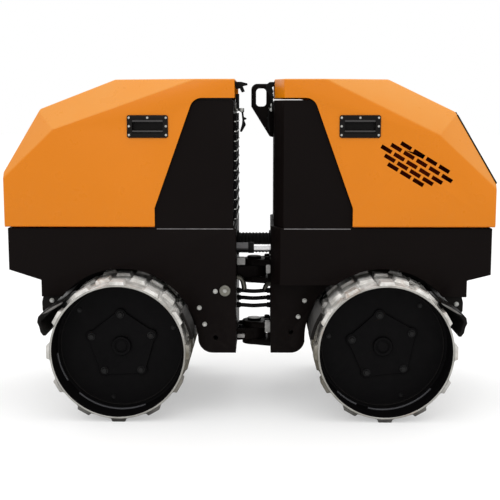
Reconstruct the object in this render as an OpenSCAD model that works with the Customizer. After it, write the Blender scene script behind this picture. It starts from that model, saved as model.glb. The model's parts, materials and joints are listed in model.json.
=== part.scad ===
// Articulated padfoot trench roller: two modules under orange hoods, joined by a vertical steering pivot.
// Millimetres, +Z up, +X towards the front module, ground at Z 0, origin under the middle of the length.

/* [Body] */
// half width of the hoods
hood_half_w = 300; // [280:1:340]
// distance from the pivot to the outer end of the rear hood
rear_end = 930; // [915:1:990]
// distance from the pivot to the outer end of the front hood
front_end = 898; // [885:1:960]
// lower edge of the hoods above ground
hood_bottom_z = 712; // [690:1:740]
// top of the hoods above ground
hood_top_z = 1256; // [1240:1:1320]
// wall thickness of the hoods
hood_wall = 4; // [3:0.5:6]
// thickness of the frame plates
frame_wall = 12; // [10:1:16]
// sheet thickness of the bulkheads
sheet = 5; // [3:0.5:6]

/* [Drums] */
// distance from the pivot to each drum axle
drum_s = 491; // [484:1:510]
// radius of the drum shell
shell_r = 251; // [240:1:258]
// height of the lugs over the shell
lug_h = 12; // [8:1:16]
// half width over both drum halves
drum_half_w = 425; // [400:1:460]
// wall thickness of the drum shell
shell_wall = 8; // [6:1:16]
// lugs round each row
lugs_per_row = 12; // [10:1:14]
// rows of lugs on each drum half
lug_rows = 4; // [3:1:4]

/* [Steering] */
// height of the upper pivot
pivot_upper_z = 505; // [498:1:512]
// height of the lower pivot
pivot_lower_z = 252; // [250:1:290]
// radius of the pivot pins
pivot_pin_r = 20; // [16:1:24]
// sideways offset of the steering cylinder
cylinder_y = -110; // [-120:1:-105]
// height of the steering cylinder
cylinder_z = 609; // [608:1:620]

/* [Hidden] */
$fn = 48;
REAR = 0;
FRONT = 1;
big = 3000;

// columns of the end table: inner end of hood, bulkhead and frame, length and depth of the corner
// chamfer, outer end of hood, bottom of the inner leg, bottom of the outer end plate, drum shift
HOOD_IN = 0;
BULK_IN = 1;
FRAME_IN = 2;
CORNER_L = 3;
CORNER_W = 4;
HOOD_OUT = 5;
LEG_Z = 6;
END_Z = 7;
DRUM_SHIFT = 8;
ENDS = [
  [70, 76, 67, 0, 0, rear_end, 230, 548, 7],
  [78, 76, 65, 35, 83, front_end, 206, 531, -5],
];

// columns of the hood form table: stations back from the hood end, heights down from the hood top
END_DOWN = 0;
ROOF_BACK = 1;
ROOF_DOWN = 2;
TOP_BACK = 3;
SIDE_BACK = 4;
SIDE_DOWN = 5;
SIDE_TOP_BACK = 6;
FORM = [
  [342, 128, 109, 411, 191, 184, 720],
  [382, 145, 120, 397, 217, 203, 638],
];
form_h = 544;
form_share = (hood_top_z - hood_bottom_z) / form_h;

// the pivot stands off the middle of the machine's length, which is the origin
pivot_x = (rear_end - front_end) / 2;

// frame and clearances
hood_gap = 6;
frame_half_w = hood_half_w - hood_wall - hood_gap;
function frame_end(e) = ENDS[e][HOOD_OUT] - hood_wall - hood_gap;
frame_top_z = hood_bottom_z - hood_gap;
frame_in_w = frame_half_w - frame_wall;
axle_z = shell_r + lug_h;
lug_r = shell_r + lug_h;
arch_r = lug_r + 26;
outer_leg_z = axle_z + 183;
outer_leg_s = drum_s + lug_r + 46;
overhang_z = outer_leg_z + 63;
front_leg_w = 190;
front_leg_top_z = 490;
deck_z = axle_z + lug_r + 74;
deck_t = 10;
deck_in = 236;

// hood form
end_chamfer_z = 22;
facet_step = 3;
roof_half_w = hood_half_w - 85;
function end_knee_z(e) = hood_top_z - FORM[e][END_DOWN] * form_share;
function roof_knee_s(e) = ENDS[e][HOOD_OUT] - FORM[e][ROOF_BACK];
function roof_knee_z(e) = hood_top_z - FORM[e][ROOF_DOWN] * form_share;
function top_start_s(e) = ENDS[e][HOOD_OUT] - FORM[e][TOP_BACK];
function side_knee_s(e) = ENDS[e][HOOD_OUT] - FORM[e][SIDE_BACK];
function side_knee_z(e) = hood_top_z - FORM[e][SIDE_DOWN] * form_share;
function side_top_s(e) = ENDS[e][HOOD_OUT] - FORM[e][SIDE_TOP_BACK];

// line where the hood side is cut away over the bulkhead
cut_s = 368;
cut_low_z = hood_bottom_z + 70;
cut_high_s = 237;
cut_high_z = hood_top_z - 111;
cut_top_z = hood_top_z - 69;
bulk_top_z = cut_top_z - 8;

// hood hinge
function hinge_s(e) = ENDS[e][HOOD_OUT] - 36;
hinge_z = frame_top_z - 16;
hinge_pin_r = 8;
hinge_y = 200;
fit = 0.05;

// lashing holes in the inner legs
lash_s = drum_s - arch_r - 58;
lash_z = 288;
lash_r = 9;

// steering cylinder
anchor_rear = -190;
anchor_front = 130;
barrel_r = 20;
rod_r = 13;
barrel_l = 190;
rod_l = 203;
bore_s = 55;

black = [0.08, 0.08, 0.09];
orange = [0.95, 0.42, 0.05];
steel = [0.62, 0.61, 0.58];
zinc = [0.75, 0.75, 0.76];
rubber = [0.05, 0.05, 0.05];

// a piece drawn round the steering pivot, placed in the machine
module at_pivot() {
  translate([pivot_x, 0, 0]) children();
}

// mirrors a front piece to the rear module
module at_end(e) {
  at_pivot() mirror([e == REAR ? 1 : 0, 0, 0]) children();
}

// a piece drawn round the drum axle, placed on its module
module at_drum(e) {
  at_end(e) translate([ENDS[e][DRUM_SHIFT], 0, 0]) children();
}

// both sides of the machine
module both_sides() {
  children();
  mirror([0, 1, 0]) children();
}

// a side view outline, drawn in distance and height, stretched from y_low to y_high
module side_slab(y_low, y_high) {
  translate([0, y_high, 0]) rotate([90, 0, 0]) linear_extrude(y_high - y_low) children();
}

// a plan outline stretched from z_low to z_high
module plan_slab(z_low, z_high) {
  translate([0, 0, z_low]) linear_extrude(z_high - z_low) children();
}

// a bar along Y
module bar_y(s, z, y_low, y_high, r) {
  translate([s, y_high, z]) rotate([90, 0, 0]) cylinder(r = r, h = y_high - y_low);
}

// plan outline of a body whose inner corners are chamfered
function plan_points(in_s, out_s, half_w, e) =
  ENDS[e][CORNER_L] == 0
  ? [[in_s, -half_w], [out_s, -half_w], [out_s, half_w], [in_s, half_w]]
  : [
      [in_s, -half_w + ENDS[e][CORNER_W]],
      [in_s + ENDS[e][CORNER_L], -half_w],
      [out_s, -half_w],
      [out_s, half_w],
      [in_s + ENDS[e][CORNER_L], half_w],
      [in_s, half_w - ENDS[e][CORNER_W]]
    ];

// a corner of a counter-clockwise outline moved inwards by t
function inset_corner(p, q, r, t) =
  let(u = (q - p) / norm(q - p), v = (r - q) / norm(r - q))
  let(m = [-u[1], u[0]], n = [-v[1], v[0]])
  q + (m + n) * t / (1 + m * n);

function inset(points, t) =
  let(count = len(points))
  [for (i = [0 : count - 1])
    inset_corner(points[(i + count - 1) % count], points[i], points[(i + 1) % count], t)];

// points on an arc
function arc(centre, r, from, to) =
  let(steps = 8)
  [for (i = [0 : steps]) let(a = from + (to - from) * i / steps) centre + r * [cos(a), sin(a)]];

module rounded(size, r) {
  translate([-size[0] / 2, -size[1] / 2 + r]) square([size[0], size[1] - 2 * r]);
  translate([-size[0] / 2 + r, -size[1] / 2]) square([size[0] - 2 * r, size[1]]);
  for (x = [-1, 1], y = [-1, 1])
    translate([x * (size[0] / 2 - r), y * (size[1] / 2 - r)]) circle(r);
}

// frame
module frame_outline(e) {
  corner_r = 55;
  low_z = ENDS[e][LEG_Z];
  end_z = ENDS[e][END_Z];
  end_s = frame_end(e);
  arch_s = drum_s + ENDS[e][DRUM_SHIFT];
  corner_s = arch_s - arch_r - corner_r + 1;
  difference() {
    polygon([
      [0, low_z], [drum_s, low_z], [drum_s, outer_leg_z], [outer_leg_s, outer_leg_z],
      [outer_leg_s, overhang_z], [end_s, end_z], [end_s + 10, end_z], [end_s + 10, frame_top_z],
      [0, frame_top_z]
    ]);
    translate([arch_s, axle_z]) circle(arch_r, $fn = 96);
    difference() {
      translate([corner_s, low_z - 1]) square([corner_r + 20, corner_r + 1]);
      translate([corner_s, low_z + corner_r]) circle(corner_r);
    }
  }
}

// openings in the inner end wall for cylinder, hoses and harness, and slots for the hood arms
module frame_openings(e) {
  wall_s = ENDS[e][FRAME_IN];
  translate([wall_s - 20, cylinder_y - 62, cylinder_z - 45]) cube([frame_wall + 40, 124, 88]);
  for (y = [-hinge_y, hinge_y])
    translate([frame_end(e) - frame_wall - 10, y - 13, hinge_z - 22]) cube([frame_wall + 20, 26, 60]);
}

module ring(points, z_low, z_high) {
  plan_slab(z_low, z_high) difference() {
    polygon(points);
    polygon(inset(points, frame_wall));
  }
}

module rear_frame() {
  points = plan_points(ENDS[REAR][FRAME_IN], frame_end(REAR), frame_half_w, REAR);
  color(black) at_end(REAR) difference() {
    intersection() {
      ring(points, ENDS[REAR][LEG_Z] - 10, frame_top_z);
      side_slab(-frame_half_w - 10, frame_half_w + 10) frame_outline(REAR);
    }
    frame_openings(REAR);
    bar_y(lash_s, lash_z, -frame_half_w - 10, frame_half_w + 10, lash_r);
  }
}

module front_frame() {
  in_s = ENDS[FRONT][FRAME_IN];
  points = plan_points(in_s, frame_end(FRONT), frame_half_w, FRONT);
  leg = [[in_s, -front_leg_w], [drum_s, -front_leg_w], [drum_s, front_leg_w], [in_s, front_leg_w]];
  shelf = inset(points, frame_wall / 2);
  color(black) at_pivot() difference() {
    union() {
      intersection() {
        difference() {
          ring(points, outer_leg_z - 10, frame_top_z);
          translate([0, -big / 2, outer_leg_z - 20])
            cube([drum_s, big, front_leg_top_z - outer_leg_z + 20]);
        }
        side_slab(-frame_half_w - 10, frame_half_w + 10) frame_outline(FRONT);
      }
      intersection() {
        ring(leg, ENDS[FRONT][LEG_Z] - 10, front_leg_top_z + 20);
        side_slab(-front_leg_w - 10, front_leg_w + 10) frame_outline(FRONT);
        translate([0, -big / 2, 0]) cube([drum_s - 120, big, big]);
      }
      intersection() {
        plan_slab(front_leg_top_z, front_leg_top_z + 10) polygon(shelf);
        side_slab(-frame_half_w, frame_half_w) frame_outline(FRONT);
        translate([0, -big / 2, 0]) cube([drum_s - 120, big, big]);
      }
    }
    frame_openings(FRONT);
    bar_y(lash_s, lash_z, -front_leg_w - 10, front_leg_w + 10, lash_r);
  }
}

module deck(e) {
  translate([deck_in, -frame_in_w, deck_z])
    cube([frame_end(e) - frame_wall - deck_in, 2 * frame_in_w, deck_t]);
}

module rear_deck() color(black) at_end(REAR) deck(REAR);

module front_deck() color(black) at_pivot() deck(FRONT);

// bulkhead
module bulkhead_outline() {
  polygon([
    [0, frame_top_z], [cut_s + 28, frame_top_z], [cut_s + 28, cut_low_z + 8],
    [cut_high_s + 30, cut_high_z], [cut_high_s + 18, bulk_top_z], [0, bulk_top_z]
  ]);
}

module bulkhead(e) {
  in_s = ENDS[e][BULK_IN];
  points = plan_points(in_s, big, frame_half_w, e);
  intersection() {
    plan_slab(frame_top_z, bulk_top_z) difference() {
      polygon(points);
      polygon(inset(points, sheet));
    }
    side_slab(-frame_half_w - 10, frame_half_w + 10) bulkhead_outline();
  }
}

guard_half_w = 250;
guard_low_z = frame_top_z + 20;
guard_high_z = bulk_top_z - 47;

module rear_bulkhead() {
  color(black) at_end(REAR) difference() {
    bulkhead(REAR);
    translate([ENDS[REAR][BULK_IN] - 10, -guard_half_w + 14, guard_low_z + 14])
      cube([sheet + 20, 2 * guard_half_w - 28, guard_high_z - guard_low_z - 28]);
  }
}

module front_bulkhead() color(black) at_pivot() bulkhead(FRONT);

// basket of level wires over the radiator opening
guard_depth = 14;
guard_wire = 4.5;

module lattice(low, size, cells, wire) {
  step = [(size[0] - wire) / cells[0], (size[1] - wire) / cells[1]];
  difference() {
    translate(low) square(size);
    for (i = [0 : cells[0] - 1], k = [0 : cells[1] - 1])
      translate([low[0] + wire + i * step[0], low[1] + wire + k * step[1]])
        square([step[0] - wire, step[1] - wire]);
  }
}

module rear_guard() {
  s = ENDS[REAR][BULK_IN];
  height = guard_high_z - guard_low_z;
  rows = round(height / 36);
  skin = 0.5;
  color(zinc) at_end(REAR) {
    translate([s - guard_depth + guard_wire, 0, 0]) rotate([90, 0, -90]) linear_extrude(guard_wire)
      lattice([-guard_half_w, guard_low_z], [2 * guard_half_w, height], [1, rows], guard_wire);
    both_sides() side_slab(-guard_half_w + skin, -guard_half_w + skin + guard_wire)
      lattice([s - guard_depth + skin, guard_low_z + skin], [guard_depth - skin, height - 2 * skin],
        [1, rows], guard_wire);
  }
}

module rear_radiator() {
  s = ENDS[REAR][BULK_IN] + sheet;
  color([0.15, 0.15, 0.16]) at_end(REAR)
    translate([s, -guard_half_w, guard_low_z]) cube([60, 2 * guard_half_w, guard_high_z - guard_low_z]);
}

// hood
// a plane through three points with its normal away from the inside point
function plane(a, b, c, inside) =
  let(n = cross(b - a, c - a) / norm(cross(b - a, c - a)))
  [a, n * (a - inside) < 0 ? -n : n];

// sloping planes of the left half of a hood: end slope, roof slope, lower and upper side facet, corner
function hood_planes(e) =
  let(in_s = ENDS[e][HOOD_IN], end_s = ENDS[e][HOOD_OUT], w = hood_half_w)
  let(inside = [(in_s + end_s) / 2, 0, hood_bottom_z])
  let(low = [end_s, 0, end_knee_z(e)], roof = [roof_knee_s(e), roof_half_w, roof_knee_z(e)])
  let(high = [top_start_s(e), 0, hood_top_z], side = [side_knee_s(e), w, side_knee_z(e)])
  let(corner = [in_s + ENDS[e][CORNER_L], w, hood_top_z])
  concat(
    [
      plane(low, low + [0, 1, 0], roof, inside),
      plane(high, high + [0, 1, 0], roof, inside),
      plane(side, roof + [0, facet_step, 0], [end_s, w, end_knee_z(e) - end_chamfer_z], inside),
      plane(side, roof, [side_top_s(e), w, hood_top_z], inside)
    ],
    ENDS[e][CORNER_L] == 0
    ? []
    : [plane(corner, corner - [0, 0, 1], [in_s, w - ENDS[e][CORNER_W], hood_top_z], inside)]
  );

// all space more than t inside of a plane and beyond it
module beyond(p, t) {
  n = p[1];
  translate(p[0] - n * t) rotate([0, acos(n[2]), atan2(n[1], n[0])])
    translate([-big / 2, -big / 2, 0]) cube(big);
}

module hood_form(e, t) {
  reach = t > 0 ? 20 : 0;
  in_s = ENDS[e][HOOD_IN] - reach;
  w = hood_half_w - t;
  low = hood_bottom_z - reach;
  difference() {
    translate([in_s, -w, low]) cube([ENDS[e][HOOD_OUT] - t - in_s, 2 * w, hood_top_z - t - low]);
    both_sides() for (p = hood_planes(e)) beyond(p, t);
  }
}

// side region cut away over the bulkhead, with a round upper corner
module hood_cut_outline() {
  slope = (cut_high_s - cut_s) / (cut_high_z - cut_low_z);
  r = 45;
  tilt = atan(-slope);
  apex = [cut_s + slope * (cut_top_z - cut_low_z), cut_top_z];
  tangent = r / tan((90 + tilt) / 2);
  polygon(concat(
    [[-big, hood_bottom_z - 20], [cut_s, hood_bottom_z - 20], [cut_s, cut_low_z]],
    arc(apex - [tangent, r], r, tilt, 90),
    [[-big, cut_top_z]]
  ));
}

handle_s = 390;
handle_z = hood_top_z - 173;
handle_w = 151;
handle_h = 83;

module hood_cuts(e) {
  side_slab(-big / 2, big / 2) hood_cut_outline();
  both_sides()
    side_slab(-hood_half_w - 10, -hood_half_w + 60)
      translate([handle_s, handle_z]) square([handle_w - 28, handle_h - 24], center = true);
}

module hood(e) {
  difference() {
    hood_form(e, 0);
    hood_form(e, hood_wall);
    hood_cuts(e);
  }
}

module rear_hood() color(orange) at_end(REAR) hood(REAR);

// columns of the vent table: slots in the row, position of the first slot
VENT_COUNT = 0;
VENT_S = 1;
VENT_Z = 2;
VENTS = [
  [4, 560, 1012],
  [5, 524, 1006],
  [5, 488, 1000],
  [4, 501, 967],
  [3, 513, 935],
];
vent_tilt = -31;
vent_pitch = 55;
vent_l = 44;
vent_w = 15;

module vent_slots() {
  for (row = VENTS, i = [0 : row[VENT_COUNT] - 1])
    translate([row[VENT_S] + i * vent_pitch * cos(vent_tilt), row[VENT_Z] + i * vent_pitch * sin(vent_tilt)])
      rotate(vent_tilt) square([vent_l, vent_w], center = true);
}

// the sloping end of the front hood, as a local frame: X across, Y up the slope, Z outwards
slope_rise = roof_knee_z(FRONT) - end_knee_z(FRONT);
slope_run = FORM[FRONT][ROOF_BACK];
slope_l = norm([slope_rise, slope_run]);
slope_tilt = atan2(slope_run, slope_rise);
panel_half_w = 190;

module on_slope() {
  translate([front_end, 0, end_knee_z(FRONT)]) rotate([0, -slope_tilt, 0]) rotate([90, 0, 90]) children();
}

module front_hood() {
  color(orange) at_pivot() difference() {
    hood(FRONT);
    both_sides() side_slab(-hood_half_w - 10, -hood_half_w + 60) vent_slots();
    on_slope() translate([-panel_half_w + 20, 30, -40])
      cube([2 * panel_half_w - 40, slope_l - 60, 80]);
  }
}

module front_vent_panel() {
  bars = 9;
  pitch = (slope_l - 24) / bars;
  color(black) at_pivot() on_slope() translate([0, 0, 0.02]) linear_extrude(7) difference() {
    translate([-panel_half_w, 4]) square([2 * panel_half_w, slope_l - 8]);
    for (i = [0 : bars - 1], k = [-1, 0, 1])
      translate([k * (2 * panel_half_w - 30) / 3, 12 + pitch * (i + 0.5)])
        square([(2 * panel_half_w - 30) / 3 - 12, pitch - 8], center = true);
  }
}

// recessed handles
module handles() {
  depth = 28;
  both_sides() difference() {
    union() {
      side_slab(-hood_half_w - 4, -hood_half_w)
        translate([handle_s, handle_z]) rounded([handle_w, handle_h], 8);
      side_slab(-hood_half_w - 1, -hood_half_w + depth)
        translate([handle_s, handle_z]) square([handle_w - 30, handle_h - 26], center = true);
    }
    side_slab(-hood_half_w - 10, -hood_half_w + depth - 4)
      translate([handle_s, handle_z]) square([handle_w - 38, handle_h - 34], center = true);
  }
}

module rear_handles() color(black) at_end(REAR) handles();

module front_handles() color(black) at_pivot() handles();

// hood hinge: arms on the hood, lugs with pins on the frame
module hood_arms(e) {
  s = hinge_s(e);
  wall_s = ENDS[e][HOOD_OUT] - hood_wall;
  for (y = [-hinge_y, hinge_y])
    difference() {
      side_slab(y - 5, y + 5) {
        translate([s, hinge_z]) circle(15);
        polygon([
          [s - 14, hinge_z], [s + 14, hinge_z], [wall_s, hinge_z + 32], [wall_s, hinge_z + 90],
          [s - 6, hinge_z + 40]
        ]);
      }
      bar_y(s, hinge_z, y - 20, y + 20, hinge_pin_r + fit);
    }
}

module rear_hood_arms() color(black) at_end(REAR) hood_arms(REAR);

module front_hood_arms() color(black) at_pivot() hood_arms(FRONT);

module hinge_lugs(e) {
  lug_t = 8;
  s = hinge_s(e);
  foot_l = frame_end(e) - frame_wall - s + 13;
  for (y = [-hinge_y, hinge_y]) {
    for (side = [-1, 1])
      side_slab(y + side * 11 - lug_t / 2, y + side * 11 + lug_t / 2) {
        translate([s, hinge_z]) circle(13);
        translate([s - 13, hinge_z - 60]) square([foot_l, 30]);
        translate([s - 13, hinge_z - 60]) square([26, 60]);
      }
    bar_y(s, hinge_z, y - 18, y + 18, hinge_pin_r);
  }
}

module rear_hinge_lugs() color(zinc) at_end(REAR) hinge_lugs(REAR);

module front_hinge_lugs() color(zinc) at_pivot() hinge_lugs(FRONT);

// hood latch: plate, lever and rubber strap on the bulkhead end panel
latch_y = -70;
LATCH_REACH = [1, 0.6];
// columns: reach off the end panel and depth below the top of the bulkhead
LATCH = [
  [4, -26], [18, -26], [18, 29], [37, 29], [37, 43], [34, 46], [36, 63], [46, 67], [46, 72], [37, 75],
  [44, 93], [28, 121], [20, 119], [28, 93], [30, 76], [27, 46], [18, 40], [4, 40]
];

module latch(e) {
  s = ENDS[e][BULK_IN];
  reach = LATCH_REACH[e];
  translate([s - 8, latch_y - 22, bulk_top_z - 42]) cube([8, 44, 34]);
  side_slab(latch_y - 11, latch_y + 11)
    polygon([for (p = LATCH) [s - p[0] * reach, bulk_top_z - p[1]]]);
}

module rear_latch() color(rubber) at_end(REAR) latch(REAR);

module front_latch() color(rubber) at_pivot() latch(FRONT);

// drums
gap_half = 35;
disc_y = 300;
disc_t = 12;
lip_r = 229;

module shell_profile() {
  translate([shell_r - shell_wall, gap_half]) square([shell_wall, drum_half_w - gap_half]);
  translate([0, disc_y - disc_t]) square([shell_r - 1, disc_t]);
  translate([lip_r, disc_y - 1]) square([shell_r - lip_r - 1, 8]);
}

module lug(width) {
  base = 62;
  crown = 48;
  root = 6;
  linear_extrude(width)
    polygon([
      [-base / 2, shell_r - root], [base / 2, shell_r - root],
      [crown / 2, lug_r], [-crown / 2, lug_r]
    ]);
}

module drum_half() {
  row_pitch = (drum_half_w - gap_half) / lug_rows;
  lug_w = row_pitch * 0.78;
  rim = 2;
  step = 360 / lugs_per_row;
  translate([drum_s, 0, axle_z]) rotate([-90, 0, 0]) {
    rotate(step / 4) rotate_extrude($fn = 96) shell_profile();
    for (row = [0 : lug_rows - 1], k = [0 : lugs_per_row - 1])
      translate([0, 0, drum_half_w - rim - row * row_pitch - lug_w])
        rotate(k * step + 180 + (row % 2) * step / 2) lug(lug_w);
  }
}

module right_half() {
  mirror([0, 1, 0]) drum_half();
}

module rear_drum_left() color(steel) at_drum(REAR) drum_half();

module rear_drum_right() color(steel) at_drum(REAR) right_half();

module front_drum_left() color(steel) at_drum(FRONT) drum_half();

module front_drum_right() color(steel) at_drum(FRONT) right_half();

// five-lobed hub plates with caps on the drum discs
hub_bolt_r = 118;

module hub_plates() {
  lobes = 5;
  plate_t = 10;
  both_sides() translate([drum_s, disc_y, axle_z]) rotate([-90, 0, 0]) {
    rotate(-90) linear_extrude(plate_t) {
      circle(hub_bolt_r + 20, $fn = lobes);
      for (i = [0 : lobes - 1]) rotate(i * 360 / lobes) translate([hub_bolt_r, 0]) circle(22);
    }
    cylinder(r = 37, h = plate_t + 14);
  }
}

module rear_hubs() color(black) at_drum(REAR) hub_plates();

module front_hubs() color(black) at_drum(FRONT) hub_plates();

axle_r = 40;

module axle() {
  bar_y(drum_s, axle_z, -disc_y + disc_t, disc_y - disc_t, axle_r);
}

module rear_axle() color(steel) at_drum(REAR) axle();

module front_axle() color(steel) at_drum(FRONT) axle();

// central leg and housing between the drum halves
module carrier() {
  leg_t = 40;
  web_z = outer_leg_z - 28;
  shelf_clear_z = front_leg_top_z + 16;
  difference() {
    union() {
      side_slab(-leg_t / 2, leg_t / 2)
        polygon([
          [drum_s - 62, axle_z], [drum_s + 62, axle_z], [drum_s + 95, web_z],
          [outer_leg_s - 40, web_z], [outer_leg_s - 40, deck_z], [deck_in + 40, deck_z],
          [deck_in + 40, shelf_clear_z], [deck_in + 104, shelf_clear_z], [deck_in + 104, web_z],
          [drum_s - 95, web_z]
        ]);
      bar_y(drum_s, axle_z, -gap_half + 6, gap_half - 6, 96);
    }
    bar_y(drum_s, axle_z, -gap_half, gap_half, axle_r + fit);
  }
}

module rear_carrier() color(black) at_drum(REAR) carrier();

module front_carrier() color(black) at_drum(FRONT) carrier();

// scrapers: a blade across the drum on two brackets
blade_half_w = drum_half_w - 10;
blade_gap = 7;

module polar_blade(a_low, a_high, r_low, r_high) {
  steps = 4;
  polygon(concat(
    [for (i = [0 : steps]) let(a = a_low + (a_high - a_low) * i / steps) r_low * [cos(a), sin(a)]],
    [for (i = [steps : -1 : 0]) let(a = a_low + (a_high - a_low) * i / steps) r_high * [cos(a), sin(a)]]
  ));
}

// columns: station beyond the lugs and height over the axle, along the holder's outer and inner side
HOLDER_OUT = [[10, 60], [20, 74], [24, 94], [31, 110], [27, 130], [14, 144]];
HOLDER_IN = [[8, 134], [16, 122], [19, 111], [13, 98], [9, 80], [2, 70]];
BRACKET = [
  [-41, 216], [27, 216], [41, 160], [40, 128], [31, 110], [24, 100], [16, 122], [8, 134], [-11, 140],
  [-13, 160], [-37, 186]
];
holder_foot_a = 13;
plate_tip_a = 43.5;

module outer_scraper() {
  foot = (lug_r + blade_gap) * [cos(holder_foot_a), sin(holder_foot_a)];
  tip = (lug_r + blade_gap + 2) * [cos(plate_tip_a), sin(plate_tip_a)];
  beyond = [lug_r, 0];
  side_slab(-blade_half_w, blade_half_w) translate([drum_s, axle_z])
    polygon(concat([foot], [for (p = HOLDER_OUT) beyond + p], [for (p = HOLDER_IN) beyond + p]));
  both_sides() side_slab(-blade_half_w, -gap_half) translate([drum_s, axle_z])
    polygon([beyond + HOLDER_OUT[4], beyond + HOLDER_OUT[5], tip + [4, 4], tip, beyond + HOLDER_IN[0]]);
  both_sides() side_slab(-frame_in_w, -frame_in_w + 10) translate([drum_s, axle_z])
    polygon([for (p = BRACKET) beyond + p]);
}

module inner_scraper(plate_in_w) {
  r_low = lug_r + blade_gap;
  side_slab(-blade_half_w, blade_half_w) translate([drum_s, axle_z]) polar_blade(148, 170, r_low, r_low + 13);
  both_sides() side_slab(-plate_in_w, -plate_in_w + 10) translate([drum_s, axle_z])
    polygon([
      r_low * [cos(148), sin(148)], r_low * [cos(153), sin(153)], r_low * [cos(158), sin(158)],
      r_low * [cos(164), sin(164)], [-lug_r - 55, 66], [-lug_r - 59, 150], [-lug_r - 7, 172]
    ]);
}

module rear_outer_scraper() color(black) at_drum(REAR) outer_scraper();

module rear_inner_scraper() color(black) at_drum(REAR) inner_scraper(frame_in_w);

module front_outer_scraper() color(black) at_drum(FRONT) outer_scraper();

module front_inner_scraper() color(black) at_drum(FRONT) inner_scraper(front_leg_w - frame_wall);

// round heads of the cross pin on the rear side plates
module rear_pin_heads() {
  color(zinc) at_end(REAR) both_sides() bar_y(108, 470, -frame_half_w - 8, -frame_half_w, 21);
}

// engine as one plain block with its head
engine_s = 300;
engine_l = 480;
engine_half_w = 190;
engine_top_z = hood_top_z - 236;

module front_engine() {
  low_z = deck_z + deck_t;
  head_z = low_z + (engine_top_z - low_z) * 0.6;
  color([0.2, 0.2, 0.21]) at_pivot() {
    translate([engine_s, -engine_half_w, low_z]) cube([engine_l, 2 * engine_half_w, head_z - low_z]);
    translate([engine_s + 50, -engine_half_w + 60, head_z - 1])
      cube([engine_l - 120, 2 * engine_half_w - 120, engine_top_z - head_z + 1]);
  }
}

// lift eye at the inner end of the front module
eye_x = 27;
eye_z = hood_top_z - 64;
eye_w = 40;
eye_h = 70;

module front_lift_eye() {
  s = ENDS[FRONT][BULK_IN];
  low_z = eye_z - 156;
  left = eye_x - eye_w / 2 - 19;
  right = s - 5;
  top_z = eye_z + eye_h / 2 + 18;
  r = 24;
  color(black) at_pivot() side_slab(-10, 10) difference() {
    polygon(concat(
      arc([right - r, top_z - r], r, 0, 90),
      arc([left + r, top_z - r], r, 90, 180),
      [
        [left, eye_z - 36], [s - 15, low_z + 3], [s, low_z], [s, bulk_top_z - 8], [right, bulk_top_z - 4]
      ]
    ));
    translate([eye_x, eye_z]) rounded([eye_w, eye_h], 14);
  }
}

// steering yokes: single lugs on the rear frame, forks on the front frame
yoke_r = 48;
lug_half_t = 23;
ear_t = 23;
ear_gap = 1;

module yoke_plate(wall_s, side) {
  circle(yoke_r);
  polygon([[0, -yoke_r], [side * wall_s, -75], [side * wall_s, 75], [0, yoke_r]]);
}

module rear_yoke() {
  color(black) at_pivot() for (z = [pivot_upper_z, pivot_lower_z])
    plan_slab(z - lug_half_t, z + lug_half_t) difference() {
      yoke_plate(ENDS[REAR][FRAME_IN], -1);
      circle(pivot_pin_r + fit);
    }
}

module front_yoke() {
  ear_low = lug_half_t + ear_gap;
  web_s = yoke_r + 6;
  web_w = 116;
  color(black) at_pivot() for (z = [pivot_upper_z, pivot_lower_z]) {
    for (side = [-1, 1])
      plan_slab(z + side * (ear_low + ear_t / 2) - ear_t / 2, z + side * (ear_low + ear_t / 2) + ear_t / 2)
        difference() {
          yoke_plate(ENDS[FRONT][FRAME_IN], 1);
          circle(pivot_pin_r);
        }
    translate([web_s, -web_w / 2, z - ear_low - 1])
      cube([ENDS[FRONT][FRAME_IN] - web_s, web_w, 2 * ear_low + 2]);
  }
}

// pivot pins, held in the forks, with a head on top
module pivot_pins() {
  half_l = lug_half_t + ear_gap + ear_t;
  color(zinc) at_pivot() for (z = [pivot_upper_z, pivot_lower_z]) {
    translate([0, 0, z - half_l]) cylinder(r = pivot_pin_r, h = 2 * half_l);
    translate([0, 0, z + half_l]) cylinder(r = pivot_pin_r + 8, h = 9);
  }
}

// steering cylinder brackets
bracket_pin_r = 12;
bracket_ear = 12;
bracket_half = 22;
open_clear = 12;

module bracket_ears(s, hole_r) {
  for (side = [-1, 1])
    plan_slab(cylinder_z + side * (bracket_half + bracket_ear / 2) - bracket_ear / 2,
      cylinder_z + side * (bracket_half + bracket_ear / 2) + bracket_ear / 2)
      difference() {
        union() {
          translate([s, cylinder_y]) circle(34);
          translate([s, cylinder_y - 34]) square([deck_in - s, 68]);
        }
        translate([s, cylinder_y]) circle(hole_r);
      }
}

module bracket_web() {
  height = 2 * (bracket_half + bracket_ear);
  translate([deck_in - 12, cylinder_y - 34, cylinder_z - height / 2]) cube([12, 68, height]);
}

module rear_cylinder_bracket() {
  height = 2 * (bracket_half + bracket_ear) + 8;
  color(black) at_end(REAR) {
    bracket_ears(-anchor_rear, bracket_pin_r);
    bracket_web();
    translate([-anchor_rear, cylinder_y, cylinder_z - height / 2]) cylinder(r = bracket_pin_r, h = height);
  }
}

module front_cylinder_bracket() {
  color(black) at_pivot() {
    bracket_ears(anchor_front, bracket_pin_r + open_clear);
    bracket_web();
  }
}

module steering_barrel() {
  color(black) at_pivot() translate([anchor_rear, cylinder_y, cylinder_z]) difference() {
    union() {
      translate([0, 0, -20]) cylinder(r = 24, h = 40);
      translate([15, 0, 0]) rotate([0, 90, 0]) cylinder(r = barrel_r - 6, h = 40);
      translate([45, 0, 0]) rotate([0, 90, 0]) cylinder(r = barrel_r, h = barrel_l - 45);
      translate([barrel_l - 22, 0, 0]) rotate([0, 90, 0]) cylinder(r = barrel_r + 2, h = 22);
    }
    translate([0, 0, -30]) cylinder(r = bracket_pin_r + fit, h = 60);
    translate([bore_s, 0, 0]) rotate([0, 90, 0]) cylinder(r = rod_r + fit, h = barrel_l);
  }
}

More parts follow.
